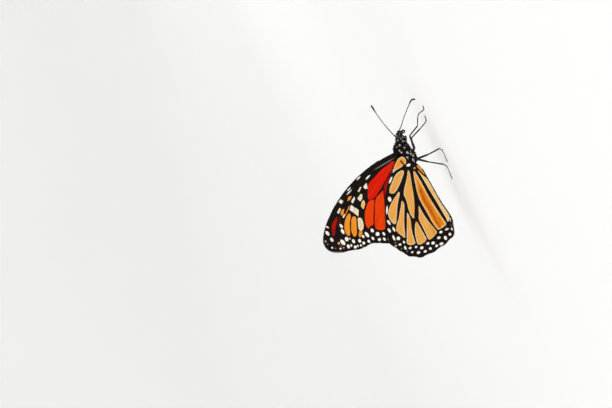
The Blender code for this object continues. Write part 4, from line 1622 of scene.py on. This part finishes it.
def map_coat(mesh, roots):
    """Each hair gets a small patch of the map, at its root's place."""
    corner = whole_numbers(mesh.loops, "vertex_index")
    uv = unrolled(roots)[corner]
    uv[:, 1] += (read_values(mesh, "along")[corner] - 0.5) * PATCH
    uv[:, 0] += (np.mod(np.arange(len(corner)), 3) - 1.0) * PATCH / 2
    while mesh.uv_layers:
        mesh.uv_layers.remove(mesh.uv_layers[0])
    lay_map(mesh, uv)


for coat in COATS:
    coat_mesh = coat_piece(*coat)
    settle(coat[0], coat_mesh, "body")
    print(coat[0], "triangles:", sum(len(p.vertices) - 2 for p in coat_mesh.polygons))

# %% [markdown]
# ## Eyes
#
# A butterfly's eye is thousands of lenses in a honeycomb. The dual of a subdivided icosahedron is
# that honeycomb, so Geometry Nodes turn one into the other and raise each cell into a small lens.

# %% A honeycomb of lenses
honeycomb, honeycomb_wires = new_tree("honeycomb", Rise=float, Lens=float, Finish="material")
eye_ball = honeycomb_wires["Geometry"]
cells = eye_ball.node("GeometryNodeDualMesh", {}, {"Mesh": eye_ball})
growth = {"Mesh": cells, "Offset Scale": honeycomb_wires["Rise"], "Individual": True}
raised = cells.node("GeometryNodeExtrudeMesh", {"mode": "FACES"}, growth)
narrowing = {"Geometry": raised, "Selection": raised.beside("Top"), "Scale": honeycomb_wires["Lens"]}
finish_tree(honeycomb_wires, raised.node("GeometryNodeScaleElements", {"domain": "FACE"}, narrowing))

eye_finish, eye_sockets, eye_wire = new_finish("compound_eye", Roughness=0.25, Specular_IOR_Level=0.3)
eye_sockets["Coat Weight"].default_value = 0.35
eye_sockets["Coat Roughness"].default_value = 0.12
eye_mottle = place_noise(eye_wire, 1400.0)
eye_speck = place_noise(eye_wire, 9000.0)
eye_colour = (eye_mottle.fade(0.35, 0.7) * 0.8).blend(paint(17, 12, 11), paint(48, 33, 26))
feed(eye_sockets["Base Color"], eye_colour)
feed(eye_sockets["Roughness"], eye_speck.fade(0.3, 0.7, 0.2, 0.34))
print("inputs of the honeycomb:", ", ".join(honeycomb_wires))

# %% Two eyes
LENS_RISE = 0.018  # height of a lens
LENS_TOP = 0.62  # width of its top as a share of its foot
LENS_ROOM = 0.02  # what the lenses take of the eye's radii


def ball(name, centre, radii, detail):
    """A subdivided icosahedron stretched to the radii."""
    shape = bmesh.new()
    bmesh.ops.create_icosphere(shape, subdivisions=detail, radius=1.0)
    mesh = bpy.data.meshes.new(name)
    shape.to_mesh(mesh)
    shape.free()
    points = np.array([v.co for v in mesh.vertices]) * radii + centre
    mesh.vertices.foreach_set("co", metres(points).astype(np.float32).ravel())
    mesh.update()
    return mesh


for side, sign in SIDES:
    eye_name = f"eye_{side}_lenses"
    ground = ball(eye_name + "_ball", EYE * (1.0, sign, 1.0), EYE_RADII - LENS_ROOM, 5)
    eye_mesh = grown(eye_name, ground, honeycomb, Rise=LENS_RISE * MM, Lens=LENS_TOP, Finish=eye_finish)
    eye_mesh.shade_smooth()
    settle(eye_name, eye_mesh, "eye", f"eye_{side}")
print("lenses in an eye:", sum(len(p.vertices) > 4 for p in eye_mesh.polygons))

# %% [markdown]
# ## Tubes of horn
#
# Feelers, legs, claws, palps and the tongue are all tubes of black horn whose radius changes along
# them. One function turns a line and its radii into a closed tube whose rings don't twist, and
# another joins several such tubes into one mesh. Nothing of horn reaches below the floor.


# %% Tubes along a line
def evenly(path, count):
    """The same path with its points evenly spaced."""
    lengths = np.concatenate([[0.0], np.cumsum(np.linalg.norm(np.diff(path, axis=0), axis=1))])
    wanted = np.linspace(0.0, lengths[-1], count)
    return np.column_stack([np.interp(wanted, lengths, path[:, i]) for i in range(path.shape[1])])


def tapering(table, count):
    """Radii along a line, from a table of shares of its length and the radii there."""
    return table_at(table, np.linspace(0.0, 1.0, count))


def tube(path, radii, sides):
    """A closed round tube: one ring at each place on the path, and a pole at each end."""
    ways = unit(np.gradient(path, axis=0))
    across = np.cross(ways[0], (0.31, 0.0, 0.95))
    turns = 2.0 * math.pi * np.arange(sides) / sides
    rings = []
    for centre, way, radius in zip(path, ways, radii):
        across = across - way * (across @ way)
        across /= np.linalg.norm(across)
        ring = np.outer(np.cos(turns), across) + np.outer(np.sin(turns), np.cross(way, across))
        rings.append(centre + radius * ring)
    first = path[0] - ways[0] * radii[0] * 0.6
    last = path[-1] + ways[-1] * radii[-1] * 0.6
    return loft(rings, first, last)


def joined(parts):
    """Several shapes as one list of points and one of faces."""
    faces = []
    start = 0
    for points, part_faces in parts:
        faces += [tuple(start + i for i in part_face) for part_face in part_faces]
        start += len(points)
    return np.vstack([points for points, _ in parts]), faces


short_line = np.outer(np.arange(3.0), (1.0, 0.0, 0.0))
print("points of a short tube:", len(tube(short_line, (0.2, 0.2, 0.2), 12)[0]))

# %% [markdown]
# ## Horn finish
#
# Horn is near black, a little glossy, and covered with minute flat scales that scatter faint grey
# light, so its colour and its gloss both vary at a twentieth of a millimetre.

# %% The finish of legs and feelers
horn_finish, horn_sockets, horn_wire = new_finish("black_horn", Roughness=0.4, Specular_IOR_Level=0.25)
horn_grain = place_noise(horn_wire, 9000.0)
horn_broad = place_noise(horn_wire, 900.0)
horn_light = horn_grain.fade(0.52, 0.72) * 0.5 + horn_broad.fade(0.4, 0.7) * 0.25
feed(horn_sockets["Base Color"], horn_light.blend(paint(13, 10, 10), paint(74, 64, 58)))
feed(horn_sockets["Roughness"], horn_broad.fade(0.3, 0.7, 0.36, 0.55))
feed(horn_sockets["Normal"], bump(horn_wire, horn_grain, 0.4, 0.015))


def settle_horn(name, tubes, *nodes):
    """Joins tubes into one piece of horn and puts it in place of its solids."""
    points, faces = joined(tubes)
    points[:, 2] = np.maximum(points[:, 2], FLOOR)
    mesh = new_mesh(name, points, faces)
    mesh.shade_smooth()
    mesh.materials.append(horn_finish)
    settle(name, mesh, "horn", *nodes)
    print(name, "faces:", len(mesh.polygons))


print("nodes in the finish of horn:", len(horn_finish.node_tree.nodes))

# %% [markdown]
# ## Feelers
#
# A monarch's feeler is a thread of some forty short rings that swells into a club over its last
# fifth. It springs from a round socket above the eye. The radius swells at each ring's end, which
# is a rule and not a list, so the tube's radii are computed.

# %% Ringed feelers with clubs
ANTENNAE = {
    "antenna_right": (
        (7.3, -0.55, 0.75), (7.95, -0.75, 1.35), (12.0, -2.2, 2.9), (18.0, -4.3, 4.6),
        (24.0, -6.3, 5.7),
    ),
    "antenna_left": (
        (7.5, 0.6, 0.75), (8.3, 1.15, 0.45), (10.1, 1.85, -2.2), (13.9, 2.9, -5.7),
        (17.6, 4.2, -9.5), (19.4, 4.9, -11.8), (19.1, 5.2, -13.4),
    ),
}
RINGS = 42
SHAFT = 0.20  # radius
CLUB = 0.40  # radius
FOOT = 0.30  # radius of the round socket


def feeler(route):
    """The ringed thread with its club, and the socket that it springs from."""
    path = evenly(smooth_line(route, 0.3), RINGS * 6)
    share = np.linspace(0.0, 1.0, len(path))
    swell = smoothstep(0.76, 0.93, share)
    radius = SHAFT * (1.15 - 0.3 * smoothstep(0.0, 0.5, share)) + (CLUB - SHAFT) * swell
    radius *= np.sqrt(1.0 - 0.96 * np.clip((share - 0.97) / 0.03, 0.0, 1.0) ** 2)
    phase = np.mod(share * RINGS, 1.0)
    radius *= 1.0 + 0.10 * smoothstep(0.3, 0.9, phase) - 0.06 * smoothstep(0.93, 1.0, phase)
    foot_path = evenly(smooth_line(route[:3], 0.3)[:8], 10)
    foot_radii = FOOT * np.sin(np.linspace(0.5, math.pi - 0.4, 10))
    return [tube(path, radius, 14), tube(foot_path, foot_radii, 14)]


for feeler_name, feeler_route in ANTENNAE.items():
    settle_horn(feeler_name + "_ringed", feeler(feeler_route), feeler_name)

# %% [markdown]
# ## Legs
#
# Each walking leg is a femur, a tibia and a tarsus of five joints with two claws. They follow the
# solids' lines, but here they run on through the joints, so that the thin cuts close. Rows of short
# spines are planted along tibia and tarsus.

# %% Lines of the legs
LEGS = {  # places along the femur and along the tarsus; the tibia runs between them
    "midleg_right": (
        ((-1.2, 2.0, -2.6), (-0.2, 3.3, -4.05), (2.4, 4.0, -4.2), (5.5, 5.0, -4.3)),
        ((8.0, 6.2, -8.9), (12.4, 7.0, -11.4), (13.3, 7.2, -14.1), (14.8, 7.3, -14.42)),
    ),
    "hindleg_right": (
        ((-4.6, 2.1, -2.4), (-4.8, 3.3, -4.0), (-5.0, 5.2, -8.4)),
        ((-4.6, 7.0, -13.6), (-5.7, 7.2, -14.4), (-11.0, 7.8, -14.42)),
    ),
    "midleg_left": (
        ((-1.2, 2.0, -2.6), (-0.4, 3.3, -4.1), (2.0, 4.2, -4.5), (4.4, 5.4, -5.1)),
        ((6.6, 7.0, -10.3), (8.7, 7.8, -14.0), (10.8, 8.0, -14.42)),
    ),
    "hindleg_left": (
        ((-4.6, 2.1, -2.4), (-5.3, 3.4, -4.0), (-8.0, 5.6, -7.8)),
        ((-11.6, 7.2, -13.4), (-13.0, 7.4, -14.4), (-18.6, 8.0, -14.42)),
    ),
}
print("legs:", ", ".join(LEGS))

# %% Tubes of one leg
FEMUR_RADII = (0.38, 0.50, 0.34)  # at its start, its middle and its end
TIBIA_RADII = (0.27, 0.28, 0.30)
TARSAL_STOPS = (0.0, 0.38, 0.56, 0.71, 0.84, 1.0)  # where its five joints begin and end
TARSAL_RADII = ((0.0, 0.17), (0.2, 0.2), (0.8, 0.25), (1.0, 0.22))
CLAW = (  # how far ahead, aside and up from the leg's tip
    (0.0, 0.0, 0.0), (0.22, 0.10, 0.06), (0.42, 0.20, -0.02), (0.50, 0.24, -0.16),
)
CLAW_RADII = (0.075, 0.02)


def limb(line, count, start, middle, end):
    """A tube that is thickest or thinnest at its middle."""
    share = np.linspace(0.0, 1.0, count)
    radii = start + (middle - start) * np.sin(math.pi * share) ** 0.8 + (end - start) * share
    return tube(line, radii, 14)


def leg_parts(femur, tarsus, sign):
    """Tubes of one leg, and the lines that carry its spines."""
    places = (femur, (femur[-1], tarsus[0]), tarsus)
    lines = [smooth_line(np.array(line) * (1.0, sign, 1.0), 0.25) for line in places]
    tibia_line = evenly(lines[1], 36)
    tarsus_line = evenly(lines[2], 61)
    found = [limb(evenly(lines[0], 40), 40, *FEMUR_RADII), limb(tibia_line, 36, *TIBIA_RADII)]
    stops = [round(stop * (len(tarsus_line) - 1)) for stop in TARSAL_STOPS]
    for low, high in zip(stops, stops[1:]):
        found.append(tube(evenly(tarsus_line[low : high + 1], 10), tapering(TARSAL_RADII, 10), 12))
    return found + claws(tarsus_line), tibia_line, tarsus_line


def claws(line):
    """Two hooks at the end of a tarsus."""
    tip = line[-1]
    way = tip - line[-4]
    way[2] = 0.0
    way /= np.linalg.norm(way)
    beside = np.array((-way[1], way[0], 0.0))
    made = []
    for hand in (1.0, -1.0):
        hook = []
        for ahead, aside, up in CLAW:
            hook.append(tip + way * (0.1 + ahead) + beside * hand * aside + (0.0, 0.0, up))
        hook = smooth_line(hook, 0.07)
        made.append(tube(hook, np.linspace(*CLAW_RADII, len(hook)), 8))
    return made


print("joints of a tarsus:", len(TARSAL_STOPS) - 1)

# %% Spines along the legs
CLEARANCE = 0.35  # no spine is rooted closer to the floor


def spine_points(line, radius, rows, spacing, length, lift=0.75):
    """Places round a limb for spines, with the way each leans, its flat side and its length."""
    count = max(3, round(np.linalg.norm(np.diff(line, axis=0), axis=1).sum() / spacing))
    places = evenly(line, count + 2)
    ways = unit(np.gradient(places, axis=0)[1:-1])
    beside = unit(np.cross(ways, (0.0, 1.0, 0.0)))
    over = np.cross(ways, beside)
    found = []
    for row in range(rows):
        turn = 2.0 * math.pi * (row + 0.5) / rows
        outwards = beside * math.cos(turn) + over * math.sin(turn)
        for place, way, out in zip(places[1:-1], ways, outwards):
            found.append((place + out * radius, way + out * lift, out, length))
    return found


def spiny(name, places, finish):
    return planted(name, places, spine_blade, finish, width=0.035, untidiness=0.2, seed=21)


for leg_name, (femur, tarsus) in LEGS.items():
    leg_sign = 1.0 if leg_name.endswith("left") else -1.0
    tubes, tibia_line, tarsus_line = leg_parts(femur, tarsus, leg_sign)
    leg_nodes = [f"{leg_name}_{part}" for part in ("femur", "tibia", "tarsus")]
    settle_horn(leg_name + "_jointed", tubes, *leg_nodes)
    spines = spine_points(tibia_line[4:], radius=0.22, rows=6, spacing=0.42, length=0.42)
    spines += spine_points(tarsus_line[:-4], radius=0.19, rows=4, spacing=0.4, length=0.3)
    spines = [spine for spine in spines if spine[0][2] > FLOOR + CLEARANCE]
    settle(leg_name + "_spines", spiny(leg_name + "_spines", spines, horn_finish), "horn")
    print(leg_name, "spines:", len(spines))

# %% [markdown]
# ## Mouth and forelegs
#
# The tongue is a tube coiled like a watch spring under the face, between two hairy palps. The
# forelegs of this family are small brushes folded against the breast. All three are lofted as the
# legs are; the palps and forelegs are then planted with short hairs.

# %% The coiled tongue
TONGUE_MIDDLE = np.array((8.3, 0.0, -2.75))
TONGUE_TURNS = 3.6
TONGUE_STEM = ((7.7, 0.0, -1.2), (7.72, 0.0, -1.55))
TONGUE_RADII = ((0.0, 0.16), (0.1, 0.125), (1.0, 0.09))


def tongue():
    """A ribbed tube that runs down from the face and coils up."""
    share = np.linspace(0.0, 1.0, 220)
    angle = 2.0 * math.pi * (TONGUE_TURNS * share - 0.06)
    reach = 0.92 - 0.78 * share
    coil = TONGUE_MIDDLE + np.column_stack([np.sin(angle) * reach, 0.0 * share, np.cos(angle) * reach])
    path = np.vstack([smooth_line([*TONGUE_STEM, coil[0]], 0.1)[:-1], coil])
    ribs = 1.0 + 0.05 * np.sin(np.arange(len(path)) * 1.6)
    return tube(path, tapering(TONGUE_RADII, len(path)) * ribs, 10)


settle_horn("tongue_coil", [tongue()], "proboscis")

# %% Palps and forelegs
PALP = ((7.3, 0.7, -1.4), (7.6, 0.85, -2.0), (8.45, 0.85, -1.9), (8.95, 0.75, -1.2), (9.15, 0.6, -0.4))
PALP_RADII = ((0.0, 0.18), (0.25, 0.26), (0.6, 0.24), (0.85, 0.16), (1.0, 0.05))
FORELEG = (  # x, degrees down from the side, and distance from the body
    (1.3, 34.0, 0.1), (1.8, 38.0, 0.4), (3.3, 44.0, 0.4), (4.6, 54.0, 0.4), (5.6, 64.0, 0.4),
    (6.3, 70.0, 0.4),
)
FORELEG_RADII = ((0.0, 0.24), (0.4, 0.2), (0.5, 0.22), (0.95, 0.16), (1.0, 0.05))


def palp(sign):
    """A palp's tube and the places of its hairs."""
    path = evenly(smooth_line(np.array(PALP) * (1.0, sign, 1.0), 0.15), 30)
    hairs = spine_points(path[5:], radius=0.14, rows=14, spacing=0.085, length=0.58, lift=1.1)
    return tube(path, tapering(PALP_RADII, 30), 12), hairs


def foreleg(sign):
    """A foreleg's tube and the places of its hairs."""
    places = []
    for x, degrees, away in FORELEG:
        middle, half_height, half_width = body_at(x)
        turn = math.radians(degrees)
        across = (half_width + away) * math.cos(turn) * (1.0 + BACK_NARROWING * math.sin(turn))
        places.append((x, sign * across, middle - (half_height + away) * math.sin(turn)))
    path = evenly(smooth_line(places, 0.2), 34)
    hairs = spine_points(path, radius=0.16, rows=9, spacing=0.12, length=0.42)
    return tube(path, tapering(FORELEG_RADII, 34), 12), hairs


for side, sign in SIDES:
    for kind, (core, hairs) in (("palp", palp(sign)), ("foreleg", foreleg(sign))):
        settle_horn(f"{kind}_{side}_core", [core], f"{kind}_{side}")
        hair_mesh = spiny(f"{kind}_{side}_hair", hairs, hair_finish)
        add_values(hair_mesh, "dot", np.ones(len(hair_mesh.vertices)))
        settle(f"{kind}_{side}_hair", hair_mesh, "horn")

# %% [markdown]
# ## Fringe
#
# A wing ends in a fringe of long narrow scales, black at the veins and white between them. They are
# planted along the margin, each pointing away from the wing in the wing's own surface.

# %% Places along the margins
FRINGE_SPACING = 0.10
FRINGE_LENGTH = 0.42
FRINGE_DEPTH = 0.08  # how far inside the margin a fringe scale is rooted
FRINGE_START = 7.0  # how far from the wing's root the fringe begins


def fringe_points(sheet, left):
    """Places along a margin with a scale's way, flat side, length and distance from a vein."""
    place, out = draped(sheet, left)
    rim = np.array(sheet["rim"])
    edge = sheet["points"][rim]
    line = place[rim]
    away = unit(np.cross(np.roll(line, -1, axis=0) - np.roll(line, 1, axis=0), out[rim]))
    away *= np.sign((away[:, [0, 2]] * (edge - edge.mean(0))).sum(1))[:, None]
    behind = (edge[:, 1] < -2.0) & (edge[:, 0] > -36.0)  # all dark along the inner margin
    from_vein = np.where(behind, 0.0, sheet["marks"]["vein"][rim])
    from_root = np.hypot(*(edge - sheet["root"]).T)
    found = []
    for i in np.flatnonzero(from_root >= FRINGE_START):
        after = (i + 1) % len(rim)
        steps = max(1, round(np.linalg.norm(line[after] - line[i]) / FRINGE_SPACING))
        for share in np.arange(steps) / steps:
            spot = line[i] * (1 - share) + line[after] * share - away[i] * FRINGE_DEPTH
            pale = from_vein[i] * (1 - share) + from_vein[after] * share
            found.append((spot, away[i], out[rim[i]], FRINGE_LENGTH, pale))
    return found


print("scales in a centimetre of fringe:", round(10.0 / FRINGE_SPACING))

# %% Four fringes
matt = {"Roughness": 0.6, "Specular_IOR_Level": 0.1}
fringe_finish, fringe_sockets, fringe_wire = new_finish("fringe_scales", **matt)
fringe_noise = place_noise(fringe_wire, 5000.0)
fringe_along = attribute(fringe_wire, "along")
fringe_pale = (attribute(fringe_wire, "pale") + (fringe_noise - 0.5) * 1.8).fade(1.3, 1.9)
fringe_pale = fringe_pale * fringe_along.fade(0.2, 0.7) * 0.9
fringe_soot = fringe_along.fade(0.0, 1.0).blend(paint(14, 10, 9), paint(34, 26, 22))
feed(fringe_sockets["Base Color"], fringe_pale.blend(fringe_soot, paint(226, 220, 208)))

for side, _ in SIDES:
    for kind, sheet, _, slot in WINGS:
        fringe_name = f"{kind}_{side}_fringe"
        scales = fringe_points(sheet, side == "left")
        mesh = planted(
            fringe_name, scales, scale_blade, fringe_finish, width=0.06, untidiness=0.12, seed=31
        )
        settle(fringe_name, mesh, slot)
        print(fringe_name, "scales:", len(scales))

# %% [markdown]
# ## Size
#
# The finished model must keep the size of the solids.
